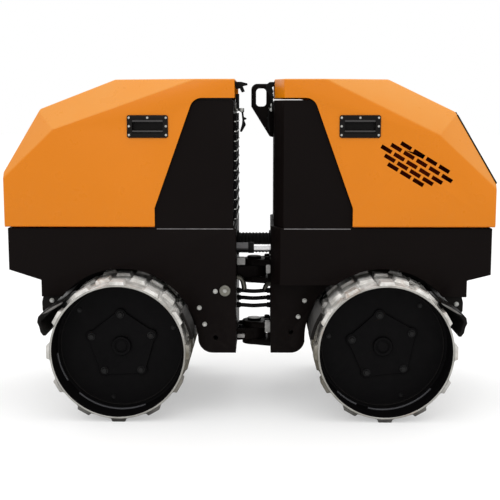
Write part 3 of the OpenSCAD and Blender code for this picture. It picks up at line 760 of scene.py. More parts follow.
class Workshop:
    """Makes, dresses and places the pieces on the bodies of the CAD frame."""

    def __init__(self, loaded: dict) -> None:
        """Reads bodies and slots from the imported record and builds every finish.
        """
        record = loaded["record"]
        self.nodes: dict[str, Piece] = loaded["nodes"]
        self.body_of = {n: b for b, ns in record["behaviour"]["bodies"].items() for n in ns}
        self.slot_of = {p["node"]: p["material_slot"] for p in record["subparts"]}
        self.slots = {m["slot"] for m in record["materials"]}
        self.materials = {key: finish.make() for key, finish in FINISHES.items()}

    def copy_of(self, node: str) -> BMesh:
        """A merged copy of a CAD node's mesh with its flat faces made whole.

        Args:
            node: name of the CAD node.

        Returns:
            The new mesh under edit.
        """
        bm = bmesh.new()
        bm.from_mesh(self.nodes[node].data)
        bmesh.ops.remove_doubles(bm, verts=bm.verts, dist=CAD_MERGE)
        bmesh.ops.dissolve_limit(bm, angle_limit=FLAT, verts=bm.verts, edges=bm.edges)
        return bm

    def place(
        self,
        name: str,
        bm: BMesh,
        finishes: Sequence[str],
        body: str | None,
        replaces: Sequence[str] = (),
        bevel: Bevelled | None = None,
        weighted: float = 0.0,
    ) -> Piece:
        """Turns a mesh under edit into a piece on a body.

        Args:
            name: name of the piece.
            bm: the mesh, which is used up.
            finishes: finishes by material index.
            body: CAD body it rides on, or None for a piece on no body.
            replaces: CAD nodes that it stands for.
            bevel: rounding of its edges.
            weighted: full radius in metres of edges that carry a bevel weight.

        Returns:
            The piece.
        """
        if bevel is None and not weighted:
            smooth_by_angle(bm)
        else:
            for face in bm.faces:
                face.smooth = True
        mesh = bpy.data.meshes.new(name)
        bm.to_mesh(mesh)
        bm.free()
        for finish in finishes:
            mesh.materials.append(self.materials[finish])
        piece = bpy.data.objects.new(name, mesh)
        bpy.context.scene.collection.objects.link(piece)
        if bevel is not None or weighted:
            self.round_edges(piece, bevel, weighted)
        return self.mount(piece, finishes[0], body, replaces)

    def mount(self, piece: Piece, finish: str, body: str | None, replaces: Sequence[str]) -> Piece:
        """Sets a finished piece on its body and reports it.

        Args:
            piece: the piece.
            finish: its main finish; not used.
            body: CAD body it rides on, or None for a piece on no body.
            replaces: CAD nodes that it stands for.

        Returns:
            The piece.
        """
        if body is not None:
            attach(piece, body)
        if replaces:
            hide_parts(*replaces)
        LOG.info("%s: %d faces on %s", piece.name, len(piece.data.polygons), body or "a bend")
        return piece

    def round_edges(self, piece: Piece, bevel: Bevelled | None, weighted: float) -> None:
        """Rounds a piece's edges and keeps the result as its mesh, within its old box.

        Args:
            piece: the piece.
            bevel: rounding of all sharp edges, or None.
            weighted: radius of edges of full bevel weight.
        """
        made = piece.modifiers.new("round", "BEVEL")
        made.limit_method = "WEIGHT" if weighted else "ANGLE"
        made.angle_limit = SHARP
        made.width, made.segments = (weighted, FOLD_SEGMENTS) if weighted else bevel.value
        made.use_clamp_overlap = False
        made.harden_normals = True
        spans = [(min(axis), max(axis)) for axis in zip(*(v.co for v in piece.data.vertices))]
        self.freeze(piece)
        for vertex in piece.data.vertices:
            vertex.co = [min(max(c, low), high) for c, (low, high) in zip(vertex.co, spans)]

    @staticmethod
    def freeze(piece: Piece) -> None:
        """Replaces a piece's mesh by its evaluated one and drops its modifiers.

        Args:
            piece: the piece.
        """
        graph = bpy.context.evaluated_depsgraph_get()
        made = bpy.data.meshes.new_from_object(piece.evaluated_get(graph))
        piece.modifiers.clear()
        piece.data = made

    def soften(self, node: str, bevel: Bevelled, finish: str | None = None) -> Piece:
        """Stands a round-edged copy of a CAD node in its place.

        Args:
            node: name of the CAD node.
            bevel: rounding of its edges.
            finish: finish other than the node's own slot.

        Returns:
            The piece.
        """
        used = finish or self.slot_of[node]
        return self.place(f"{node}_shape", self.copy_of(node), [used], self.body_of[node], [node], bevel)

    def keep(self, *nodes: str) -> None:
        """Dresses CAD nodes that stay as they are in their slot's finish.

        Args:
            *nodes: names of the CAD nodes.
        """
        for node in nodes:
            mesh = self.nodes[node].data
            mesh.materials.clear()
            mesh.materials.append(self.materials[self.slot_of[node]])
            LOG.info("%s: CAD node kept", node)


# Geometry Nodes trees


class Tree(Graph):
    """A Geometry Nodes tree built in code, with named inputs."""

    def __init__(self, name: str, takes_points: bool) -> None:
        """Starts a tree.

        Args:
            name: name of the tree.
            takes_points: whether it works on the carrier's own points.
        """
        super().__init__(bpy.data.node_groups.new(name, "GeometryNodeTree"))
        self.face = self.tree.interface
        if takes_points:
            self.face.new_socket("Geometry", in_out="INPUT", socket_type="NodeSocketGeometry")
        self.face.new_socket("Geometry", in_out="OUTPUT", socket_type="NodeSocketGeometry")
        self.source = self.node("NodeGroupInput")
        self.ids: dict[str, str] = {}

    def entry(self, name: str, kind: str, value: object = None) -> Socket:
        """Adds a named input.

        Args:
            name: name of the input.
            kind: socket type without its NodeSocket prefix.
            value: default value.

        Returns:
            The socket inside the tree.
        """
        made = self.face.new_socket(name, in_out="INPUT", socket_type=f"NodeSocket{kind}")
        if value is not None:
            made.default_value = value
        self.ids[name] = made.identifier
        return self.source.outputs[name]

    def close(self, shape: Socket) -> None:
        """Ends the tree in realised instances of one material.

        Args:
            shape: the instances.
        """
        real = self.fill(self.node("GeometryNodeRealizeInstances"), Geometry=shape)
        dress = self.node("GeometryNodeSetMaterial")
        self.fill(dress, Geometry=real.outputs["Geometry"], Material=self.entry("Material", "Material"))
        self.link(dress.outputs["Geometry"], self.node("NodeGroupOutput").inputs[0])

    def run(
        self,
        name: str,
        shop: Workshop,
        finish: str,
        body: str | None,
        points: bpy.types.Mesh | None = None,
        replaces: Sequence[str] = (),
        **inputs: object,
    ) -> Piece:
        """Runs the tree and turns its result into a plain piece.

        Args:
            name: name of the piece.
            shop: the workshop that dresses it.
            finish: its finish.
            body: the body it rides on, or None for a piece on no body.
            points: the carrier's mesh, if the tree works on points.
            replaces: CAD nodes that it stands for.
            **inputs: named inputs, with _ for a space.

        Returns:
            The piece.
        """
        piece = bpy.data.objects.new(name, points or bpy.data.meshes.new(name))
        bpy.context.scene.collection.objects.link(piece)
        made = piece.modifiers.new("nodes", "NODES")
        made.node_group = self.tree
        made[self.ids["Material"]] = shop.materials[finish]
        for key, value in inputs.items():
            made[self.ids[key.replace("_", " ")]] = value
        shop.freeze(piece)
        bm = bmesh.new()
        bm.from_mesh(piece.data)
        bmesh.ops.remove_doubles(bm, verts=bm.verts, dist=TREE_MERGE)
        smooth_by_angle(bm)
        bm.to_mesh(piece.data)
        bm.free()
        return shop.mount(piece, finish, body, replaces)


class FastenerTree(Tree):
    """Bolt or screw heads on washers, one on each point, along the point's axis attribute."""

    WASHER_SIDES = 24
    WAIST, CROWN = 0.96, 0.80
    CROWN_TALL = 0.2
    CHAMFER = 0.25

    def __init__(self) -> None:
        """Builds the tree."""
        super().__init__("fastener heads", True)
        sides = self.entry("Sides", "Int", 6)
        radius = self.entry("Head Radius", "Float", 0.010)
        height = self.entry("Head Height", "Float", 0.008)
        washer_r = self.entry("Washer Radius", "Float", 0.014)
        washer_h = self.entry("Washer Height", "Float", 0.0025)
        seed = self.entry("Seed", "Int", SEED)
        join = self.node("GeometryNodeJoinGeometry")
        waist = self.math("MULTIPLY", radius, self.WAIST)
        crown = self.math("MULTIPLY", radius, self.CROWN)
        chamfer = self.math("MULTIPLY", washer_h, self.CHAMFER)
        rim = self.math("SUBTRACT", washer_r, chamfer)
        body_h = self.math("MULTIPLY", height, 1 - self.CROWN_TALL)
        crown_h = self.math("MULTIPLY", height, self.CROWN_TALL)
        low_h = self.math("MULTIPLY", washer_h, 1 - self.CHAMFER)
        top = self.math("ADD", washer_h, body_h)
        layers = (
            (self.WASHER_SIDES, washer_r, washer_r, low_h, 0.0),
            (self.WASHER_SIDES, washer_r, rim, chamfer, low_h),
            (sides, radius, radius, body_h, washer_h),
            (sides, waist, crown, crown_h, top),
        )
        for count, r_low, r_high, h, z in layers:
            self.link(self.layer(count, r_low, r_high, h, z), join.inputs["Geometry"])
        smooth = self.node("GeometryNodeSetShadeSmooth")
        self.fill(smooth, Geometry=self.scatter(join.outputs["Geometry"], seed))
        self.close(smooth.outputs["Geometry"])

    def layer(self, count: object, r_low: object, r_high: object, h: object, z: object) -> Socket:
        """One turned layer of a head.

        Args:
            count: corners round it.
            r_low: radius below.
            r_high: radius above.
            h: height.
            z: where it starts.

        Returns:
            The layer's mesh.
        """
        cone = self.node("GeometryNodeMeshCone", fill_type="NGON")
        self.fill(cone, Vertices=count, Radius_Top=r_high, Radius_Bottom=r_low, Depth=h)
        lift = self.fill(self.node("ShaderNodeCombineXYZ"), Z=z)
        move = self.node("GeometryNodeTransform")
        self.fill(move, Geometry=cone.outputs["Mesh"], Translation=lift.outputs["Vector"])
        return move.outputs["Geometry"]

    def scatter(self, head: Socket, seed: Socket) -> Socket:
        """Stands a head on each point, turned by chance.

        Args:
            head: the head's mesh.
            seed: seed of the turn.

        Returns:
            The instances.
        """
        axis = self.node("GeometryNodeInputNamedAttribute", data_type="FLOAT_VECTOR")
        align = self.node("FunctionNodeAlignRotationToVector", axis="Z")
        chance = self.node("FunctionNodeRandomValue", data_type="FLOAT")
        spin = self.node("FunctionNodeAxisAngleToRotation")
        turn = self.node("FunctionNodeRotateRotation", rotation_space="LOCAL")
        stand = self.node("GeometryNodeInstanceOnPoints")
        low, high = [i for i in chance.inputs if i.type == "VALUE"][:2]
        low.default_value, high.default_value = 0.0, 2 * math.pi
        self.fill(axis, Name="axis")
        self.fill(chance, Seed=seed)
        self.fill(align, Vector=[o for o in axis.outputs if o.type == "VECTOR"][0])
        self.fill(spin, Axis=(0, 0, 1), Angle=[o for o in chance.outputs if o.type == "VALUE"][0])
        self.fill(turn, Rotation=align.outputs["Rotation"], Rotate_By=spin.outputs["Rotation"])
        points = self.source.outputs["Geometry"]
        self.fill(stand, Points=points, Instance=head, Rotation=turn.outputs["Rotation"])
        return stand.outputs["Instances"]


class SlatTree(Tree):
    """A row of like slats at an even pitch."""

    def __init__(self) -> None:
        """Builds the tree."""
        super().__init__("slat row", False)
        line = self.node("GeometryNodeMeshLine", mode="OFFSET")
        slat = self.node("GeometryNodeMeshCube")
        stand = self.node("GeometryNodeInstanceOnPoints")
        self.fill(
            line,
            Count=self.entry("Count", "Int", 10),
            Start_Location=self.entry("Start", "Vector"),
            Offset=self.entry("Pitch", "Vector"),
        )
        self.fill(slat, Size=self.entry("Size", "Vector"))
        self.fill(stand, Points=line.outputs["Mesh"], Instance=slat.outputs["Mesh"])
        self.close(stand.outputs["Instances"])


class WireTree(Tree):
    """Round wires along the carrier's edges, repeated at an even pitch."""

    CHORDS = 12

    def __init__(self) -> None:
        """Builds the tree."""
        super().__init__("wire row", True)
        line = self.node("GeometryNodeMeshLine", mode="OFFSET")
        curve = self.node("GeometryNodeMeshToCurve")
        ring = self.node("GeometryNodeCurvePrimitiveCircle")
        skin = self.node("GeometryNodeCurveToMesh")
        stand = self.node("GeometryNodeInstanceOnPoints")
        self.fill(line, Count=self.entry("Count", "Int", 1), Offset=self.entry("Pitch", "Vector"))
        self.fill(ring, Resolution=self.CHORDS, Radius=self.entry("Radius", "Float", 0.002))
        self.fill(curve, Mesh=self.source.outputs["Geometry"])
        self.fill(skin, Curve=curve.outputs["Curve"], Profile_Curve=ring.outputs["Curve"], Fill_Caps=True)
        self.fill(stand, Points=line.outputs["Mesh"], Instance=skin.outputs["Mesh"])
        self.close(stand.outputs["Instances"])


class SleeveTree(Tree):
    """A ribbed sleeve round a straight line."""

    CHORDS = 28
    RIB_SAMPLES = 8

    def __init__(self) -> None:
        """Builds the tree."""
        super().__init__("ribbed sleeve", False)
        line = self.node("GeometryNodeCurvePrimitiveLine")
        fine = self.node("GeometryNodeResampleCurve")
        place = self.node("GeometryNodeSplineParameter")
        ring = self.node("GeometryNodeCurvePrimitiveCircle")
        skin = self.node("GeometryNodeCurveToMesh")
        self.fill(line, Start=self.entry("Start", "Vector"), End=self.entry("End", "Vector"))
        radius = self.entry("Radius", "Float", 0.02)
        depth = self.entry("Rib Depth", "Float", 0.002)
        ribs = self.entry("Ribs", "Int", 12)
        samples = self.math("ADD", self.math("MULTIPLY", ribs, self.RIB_SAMPLES), 1)
        self.fill(fine, Curve=line.outputs["Curve"], Count=samples)
        wave = self.math("MULTIPLY", self.math("MULTIPLY", place.outputs["Factor"], ribs), 2 * math.pi)
        width = self.math("ADD", radius, self.math("MULTIPLY", self.math("SINE", wave), depth))
        self.fill(ring, Resolution=self.CHORDS, Radius=1.0)
        self.fill(skin, Curve=fine.outputs["Curve"], Profile_Curve=ring.outputs["Curve"])
        self.fill(skin, Scale=width, Fill_Caps=True)
        self.close(skin.outputs["Mesh"])


def axis_points(rows: Iterable[tuple[Point, Point]]) -> bpy.types.Mesh:
    """A mesh of bare points that carry an axis attribute.

    Args:
        rows: place and axis of each point, in metres.

    Returns:
        The mesh.
    """
    rows = list(rows)
    mesh = bpy.data.meshes.new("points")
    mesh.from_pydata([p for p, _ in rows], [], [])
    axis = mesh.attributes.new("axis", "FLOAT_VECTOR", "POINT")
    axis.data.foreach_set("vector", [c for _, a in rows for c in a])
    return mesh


def path_mesh(points: Sequence[Point]) -> bpy.types.Mesh:
    """A mesh of edges along points.

    Args:
        points: the points in metres.

    Returns:
        The mesh.
    """
    mesh = bpy.data.meshes.new("path")
    mesh.from_pydata(list(points), [(i, i + 1) for i in range(len(points) - 1)], [])
    return mesh


@dataclass(frozen=True)
class Head:
    """Sizes of a fastener head in millimetres."""

    sides: int
    radius: float
    height: float
    washer_radius: float
    washer_height: float

    def inputs(self) -> dict[str, float]:
        """The fastener tree's inputs of these sizes.

        Returns:
            The inputs by name, in metres.
        """
        return {
            "Sides": self.sides,
            "Head_Radius": self.radius * MM,
            "Head_Height": self.height * MM,
            "Washer_Radius": self.washer_radius * MM,
            "Washer_Height": self.washer_height * MM,
        }


# Corners, then radius and height of the head and of its washer
PAN_SCREW = Head(18, 3.4, 2.4, 4.4, 0.8)
LATCH_BOLT = Head(6, 6.0, 4.0, 7.6, 1.5)
M10_BOLT = Head(6, 7.2, 6.0, 9.2, 2.0)
M16_BOLT = Head(6, 11.5, 8.0, 14.5, 2.5)


# Sub-assemblies


@dataclass
class Trees:
    """The node trees that the sub-assemblies share."""

    heads: FastenerTree = field(default_factory=FastenerTree)
    slats: SlatTree = field(default_factory=SlatTree)
    sleeve: SleeveTree = field(default_factory=SleeveTree)
    wires: WireTree = field(default_factory=WireTree)


@dataclass
class Assembly:
    """What every sub-assembly is made with."""

    shop: Workshop
    trees: Trees

    def heads(self, name: str, finish: str, body: str, rows: Rows, head: Head) -> None:
        """Stands like fastener heads at places.

        Args:
            name: name of the piece.
            finish: its finish.
            body: the body it rides on.
            rows: place and axis of each head, in metres.
            head: sizes of a head.
        """
        self.trees.heads.run(name, self.shop, finish, body, axis_points(rows), **head.inputs())


@dataclass
class EndAssembly(Assembly):
    """A sub-assembly that both modules have."""

    end: End

    @property
    def tag(self) -> str:
        """Prefix of the names at this end."""
        return self.end.tag


@dataclass(frozen=True)
class SidePlate:
    """A plate cut in the side view: distances from the pivot and heights, in millimetres."""

    points: tuple[tuple[float, float], ...]
    y: float
    half_t: float

    def add(self, bm: BMesh, end: End) -> None:
        """Adds the plate to a mesh at an end."""
        outline = counter_clockwise((end.at(s, 0, z)[0], z * MM) for s, z in self.points)
        outline_slab(bm, outline, -self.half_t * MM, self.half_t * MM, side_view((0, self.y * MM, 0)))


# Tables in millimetres: distance from the pivot and height, unless a line says more
REAR_CATCH = (
    (112, 1251), (112, 1243), (74, 1240), (70, 1222), (56, 1226), (48, 1210),
    (36, 1214), (44, 1234), (26, 1238), (26, 1245), (50, 1251),
)
FRONT_CATCH = (
    (116, 1251), (116, 1243), (84, 1239), (69, 1230), (75, 1216), (71, 1201),
    (79, 1190), (64, 1186), (54, 1208), (45, 1228), (49, 1243), (60, 1251),
)
FRONT_STRAP = ((73, 1180), (74, 1174), (76, 1162), (72, 1131), (62, 1131), (58, 1158), (62, 1180))
CATCHES = {End.REAR: SidePlate(REAR_CATCH, -70, 9), End.FRONT: SidePlate(FRONT_CATCH, -42, 8)}
LATCH_STRAP = SidePlate(FRONT_STRAP, -52, 8)
LATCH_BOLTS = {End.REAR: ((70, 1142), (48, 1143)), End.FRONT: ((67, 1145), (70, 1162))}
# From the outermost point of the drum: distance outwards and height over the axle
BLADE_END = (
    (12, 140), (-7, 155), (-29, 169), (-54, 181), (-68, 186), (-57, 176), (-33, 161), (-8, 147),
)
# Distance from the pivot and height
VENT_TRAY = (
    (452, 1018), (545, 1046), (590, 1030), (742, 926), (750, 884), (630, 846), (478, 934),
)
# Radius and height over the hub
CAP_PROFILE = (
    (0, -4), (36.5, -4), (36.5, 1), (34.5, 3), (27.5, 3),
    (26.5, 1), (23.5, 1), (22.5, 4), (10, 5), (0, 5),
)
# Distance from the pivot and height
INNER_BOLTS = {End.REAR: ((205, 404), (185, 341)), End.FRONT: ((196, 413), (172, 350))}
OUTER_BOLT = {End.REAR: (764, 429), End.FRONT: (765, 418)}
LEDGE_START = {End.REAR: 76, End.FRONT: 113}
KNUCKLE_LIFT = {End.REAR: 23, End.FRONT: 47}
ELBOWS = {
    End.REAR: ((67, 488), (58, 487), (50, 481), (44, 470), (40, 450), (39, 436)),
    End.FRONT: ((65, 462), (57, 461), (51, 457), (46, 450), (43, 441), (42, 434)),
}
# Distance from the pivot, height of the middle, width and size upwards
CLAMP_BLOCKS = {
    End.REAR: ((51, 552, 32, 30), (52, 250, 30, 15)),
    End.FRONT: ((56, 520, 18, 34), (54, 287, 22, 44)),
}


@dataclass
class Hood(EndAssembly):
    """A folded sheet hood with its pull handles, hinge arms and end panel."""

    fold_radius: float = 0.005
    fold_bend: float = 3
    panel_area: float = 0.006
    cut_bend: float = 40
    cut_share: float = 0.2
    handle_s: float = 390
    handle_z: float = 1083
    half_w: float = 300
    plate: float = 4
    ledges: tuple[Span, ...] = ((20.0, 8.0), (-17.0, 7.0))
    ledge_w: float = 113
    ledge_r: float = 1.5
    ledge_y: Span = (-12, -1.5)
    screw_s: tuple[float, ...] = (-68, 0, 68)
    screw_z: tuple[float, ...] = (32, 1, -31)
    tray_at: Span = (610, 945)
    tray_in: float = 4.2
    tray_deep: float = 40
    tray_t: float = 3
    tray_wall: float = 0.985
    slope: Point = (0.875, 0, 0.484)
    slope_near: float = 0.1
    trim_rise: float = 0.15
    trim_side: float = 0.18
    trim_r: float = 3.2
    trim_steps: int = 12

    @property
    def body(self) -> str:
        """The CAD body of this hood."""
        return f"{self.tag}_hood_body"

    def build(self) -> None:
        """Builds the hood's pieces."""
        self.shell()
        self.handles()
        self.shop.soften(f"{self.tag}_hood_arms", Bevelled.FINE)
        self.catch()
        if self.end is End.FRONT:
            self.shop.soften("front_vent_panel", Bevelled.FINE)
            self.baffles()
            self.slope_trim()

    def catch(self) -> None:
        """The latch hook that hangs from the inner edge of the roof."""
        bm = bmesh.new()
        CATCHES[self.end].add(bm, self.end)
        self.shop.place(f"{self.tag}_hood_catch", bm, ["rubber"], self.body, bevel=Bevelled.PLATE)

    def baffles(self) -> None:
        """Trays behind the vent slots, dark red as painted shade of the orange inside of the hood."""
        bm = bmesh.new()
        s, z = self.tray_at
        floor, back = -self.tray_deep * MM, -(self.tray_deep + self.tray_t) * MM
        for side in SIDES:
            place = upright_at(self.end.at(s, side * (self.half_w - self.tray_in), z), (0, side, 0))
            outline = counter_clockwise((-side * (a - s) * MM, (b - z) * MM) for a, b in VENT_TRAY)
            outline_slab(bm, outline, back, floor, place)
            inner = [(x * self.tray_wall, y * self.tray_wall) for x, y in outline]
            for k, corner in enumerate(outline):
                after = (k + 1) % len(outline)
                wall = [corner, outline[after], inner[after], inner[k]]
                outline_slab(bm, wall, floor, 0.0, place)
        self.shop.place("front_vent_trays", bm, ["vent_shade"], self.body)

    def slope_trim(self) -> None:
        """Rubber edging along both sides of the end slope."""
        source = self.shop.copy_of("front_hood")
        slope = Vector(self.slope)
        longest: dict[int, tuple[Vector, Vector]] = {}
        for edge in source.edges:
            normals = [f.normal for f in edge.link_faces]
            if len(normals) != 2 or not any(n.angle(slope) < self.slope_near for n in normals):
                continue
            low, high = sorted((v.co.copy() for v in edge.verts), key=lambda c: c.z)
            if high.z - low.z < self.trim_rise or min(abs(low.y), abs(high.y)) < self.trim_side:
                continue
            side = 1 if low.y > 0 else -1
            kept = longest.get(side)
            if kept is None or (high - low).length > (kept[1] - kept[0]).length:
                longest[side] = (low, high)
        source.free()
        bm = bmesh.new()
        steps = [k / self.trim_steps for k in range(self.trim_steps + 1)]
        for low, high in longest.values():
            tube(bm, [low.lerp(high, t) for t in steps], self.trim_r * MM)
        self.shop.place("front_slope_trim", bm, ["rubber"], self.body)

    def shell(self) -> None:
        """The sheet shell: soft folds between the big outer panels and eased cut edges."""
        node = f"{self.tag}_hood"
        bm = self.shop.copy_of(node)
        weight = bm.edges.layers.float.new("bevel_weight_edge")
        for edge in bm.edges:
            if not edge.is_manifold:
                continue
            bend = math.degrees(edge.calc_face_angle_signed(0))
            panels = all(f.calc_area() > self.panel_area for f in edge.link_faces)
            if panels and bend > self.fold_bend:
                edge[weight] = 1.0
            elif bend > self.cut_bend:
                edge[weight] = self.cut_share
        finishes = ["hood_paint"]
        self.shop.place(f"{node}_shell", bm, finishes, self.body, [node], weighted=self.fold_radius)

    def handles(self) -> None:
        """Both pull handles: the moulded pan, its ledge bars and its screws."""
        tag, node = self.tag, f"{self.tag}_handles"
        pans, ridges = self.shop.copy_of(node), bmesh.new()
        rows: Rows = []
        for side in SIDES:
            face = side * (self.half_w + self.plate)
            self.bars(ridges, upright_at(self.end.at(self.handle_s, face, self.handle_z), (0, side, 0)))
            for s in self.screw_s:
                for z in self.screw_z if s else self.screw_z[:1]:
                    place = self.end.at(self.handle_s + s, face, self.handle_z + z)
                    rows.append((place, (0, side, 0)))
        self.shop.place(f"{tag}_handle_pans", pans, ["handle_plastic"], self.body, [node], Bevelled.FINE)
        # The ledge bars are grey, paler than the pan: painted highlight
        self.shop.place(f"{tag}_handle_ridges", ridges, ["ridge_highlight"], self.body, bevel=Bevelled.PLATE)
        self.heads(f"{tag}_handle_screws", "bright_metal", self.body, rows, PAN_SCREW)

    def bars(self, bm: BMesh, place: Matrix) -> None:
        """Adds the two ledge bars in the mouth of the finger pocket.

        Args:
            bm: the mesh that takes them.
            place: middle of the handle's face, local Z outwards and local Y up.
        """
        back, front = (y * MM for y in self.ledge_y)
        for z, tall in self.ledges:
            outline = rounded_outline(self.ledge_w * MM, tall * MM, self.ledge_r * MM, steps=2)
            outline_slab(bm, outline, back, front, place @ Matrix.Translation((0, z * MM, 0)))


@dataclass
class Drum(EndAssembly):
    """A split padfoot drum with hub plates, caps and bolts, in millimetres."""

    shell_r: float = 251
    shell_wall: float = 8
    lug_rise: float = 3
    near: float = 2
    lip_r: float = 230
    lip_y: float = 308
    bead_r: float = 2.4
    bead_sides: int = 8
    disc_y: float = 300
    plate_t: float = 10
    cap_out: float = 14
    lobes: int = 5
    hub_bolt_r: float = 118
    outer_bolt_r: float = 206
    rub_y: float = 330
    rub_r: float = 3.6
    rub_steps: int = 24

    @property
    def body(self) -> str:
        """The CAD body of this drum."""
        return f"{self.tag}_drum"

    @property
    def turned(self) -> float:
        """Turn of the hub plates in degrees, as in the photograph."""
        return 1.5 if self.end is End.REAR else 6.3

    @property
    def outer_angles(self) -> tuple[float, ...]:
        """Angles of the bolts near the rim of the disc."""
        return (19, 140, 260) if self.end is End.REAR else (48, 170, 291)

    @property
    def rubbed(self) -> tuple[Span, ...]:
        """Angles between which a painted highlight runs inside the rim."""
        return ((186, 213), (228, 292)) if self.end is End.REAR else ((225, 246), (257, 319))

    def build(self) -> None:
        """Builds both halves and their hubs."""
        for half in ("left", "right"):
            self.half(f"{self.tag}_drum_{half}")
        self.hubs()
        self.shop.keep(f"{self.tag}_axle")
        self.caps()
        self.beads()
        self.scuffs()
        self.bolts()

    def axle(self, y: float = 0) -> Point:
        """The point of the axle at a side, in metres."""
        return self.end.at(self.end.axle_s, y, AXLE_Z)

    def half(self, node: str) -> None:
        """One half: bare steel outside with darker end faces on the rim as painted shade, black inside
        the rim and on the disc.

        Args:
            node: the CAD node it stands for.
        """
        bm = self.shop.copy_of(node)
        axle, near = Vector(self.axle()), self.near * MM
        inner = (self.shell_r - self.shell_wall) * MM
        for face in bm.faces:
            reach = [(v.co - axle).xz.length for v in face.verts]
            end_face = abs(face.normal.y) > SQUARE
            outside = max(reach) > inner + near
            lug = max(reach) > (self.shell_r + self.lug_rise) * MM
            if outside and (lug or not end_face):
                face.material_index = 0
            else:
                # The rim's end faces take a darker copy of the steel: painted shade
                face.material_index = 2 if outside and end_face and min(reach) > inner - near else 1
        finishes = ["drum_steel", "dark_metal", "rim_face_shade_steel"]
        self.shop.place(f"{node}_half", bm, finishes, self.body, [node], Bevelled.LUG)

    def hubs(self) -> None:
        """The five-lobed hub plates, turned a little on their axle."""
        node = f"{self.tag}_hubs"
        bm = self.shop.copy_of(node)
        turn = Matrix.Rotation(-math.radians(self.turned), 3, "Y")
        bmesh.ops.rotate(bm, cent=self.axle(), matrix=turn, verts=bm.verts)
        self.shop.place(f"{node}_shape", bm, ["dark_metal"], self.body, [node], Bevelled.PLATE)

    def beads(self) -> None:
        """Weld beads round the lip of each disc."""
        bm = bmesh.new()
        turn = [2 * math.pi * i / self.bead_sides for i in range(self.bead_sides)]
        profile = [
            ((self.lip_r + self.bead_r * math.cos(a)) * MM, (self.lip_y + self.bead_r * math.sin(a)) * MM)
            for a in turn
        ]
        for side in SIDES:
            lathe(bm, profile, facing(self.axle(), (0, side, 0)), sides=96, ring=True)
        self.shop.place(f"{self.tag}_lip_beads", bm, ["handle_plastic"], self.body)

    def scuffs(self) -> None:
        """Grey arcs along the inside of the rim, low on the drum: painted highlight."""
        bm = bmesh.new()
        reach = self.shell_r - self.shell_wall - self.rub_r / 2
        for side in SIDES:
            for start, stop in self.rubbed:
                turn = [start + (stop - start) * k / self.rub_steps for k in range(self.rub_steps + 1)]
                path = [Vector(self.spot(a, reach, side * self.rub_y)) for a in turn]
                tube(bm, path, self.rub_r * MM, sides=10)
        self.shop.place(f"{self.tag}_bead_scuffs", bm, ["highlit_paint"], self.body)

    def caps(self) -> None:
        """Grooved turned caps on the hubs."""
        bm = bmesh.new()
        profile = [(r * MM, (self.plate_t + self.cap_out + h) * MM) for r, h in CAP_PROFILE]
        for side in SIDES:
            lathe(bm, profile, facing(self.axle(side * self.disc_y), (0, side, 0)), sides=40)
        self.shop.place(f"{self.tag}_hub_caps", bm, ["dark_metal"], self.body)

    def bolts(self) -> None:
        """Hub bolts on the lobes and bolts near the rim of the disc."""
        lobes: Rows = []
        rim: Rows = []
        first = 90 + self.turned
        for side in SIDES:
            face = side * (self.disc_y + self.plate_t)
            for i in range(self.lobes):
                place = self.spot(first + 360 / self.lobes * i, self.hub_bolt_r, face)
                lobes.append((place, (0, side, 0)))
            for a in self.outer_angles:
                rim.append((self.spot(a, self.outer_bolt_r, side * self.disc_y), (0, side, 0)))
        self.heads(f"{self.tag}_hub_bolts", "bolt_black", self.body, lobes, M16_BOLT)
        self.heads(f"{self.tag}_disc_bolts", "bolt_black", self.body, rim, M10_BOLT)

    def spot(self, degrees: float, radius: float, y: float) -> Point:
        """A point on the disc.

        Args:
            degrees: angle in the side view.
            radius: distance from the axle in millimetres.
            y: side in millimetres.

        Returns:
            The point in metres.
        """
        a = math.radians(degrees)
        x = PIVOT_X + self.end.value * self.end.axle_s + radius * math.cos(a)
        return (x * MM, y * MM, (AXLE_Z + radius * math.sin(a)) * MM)


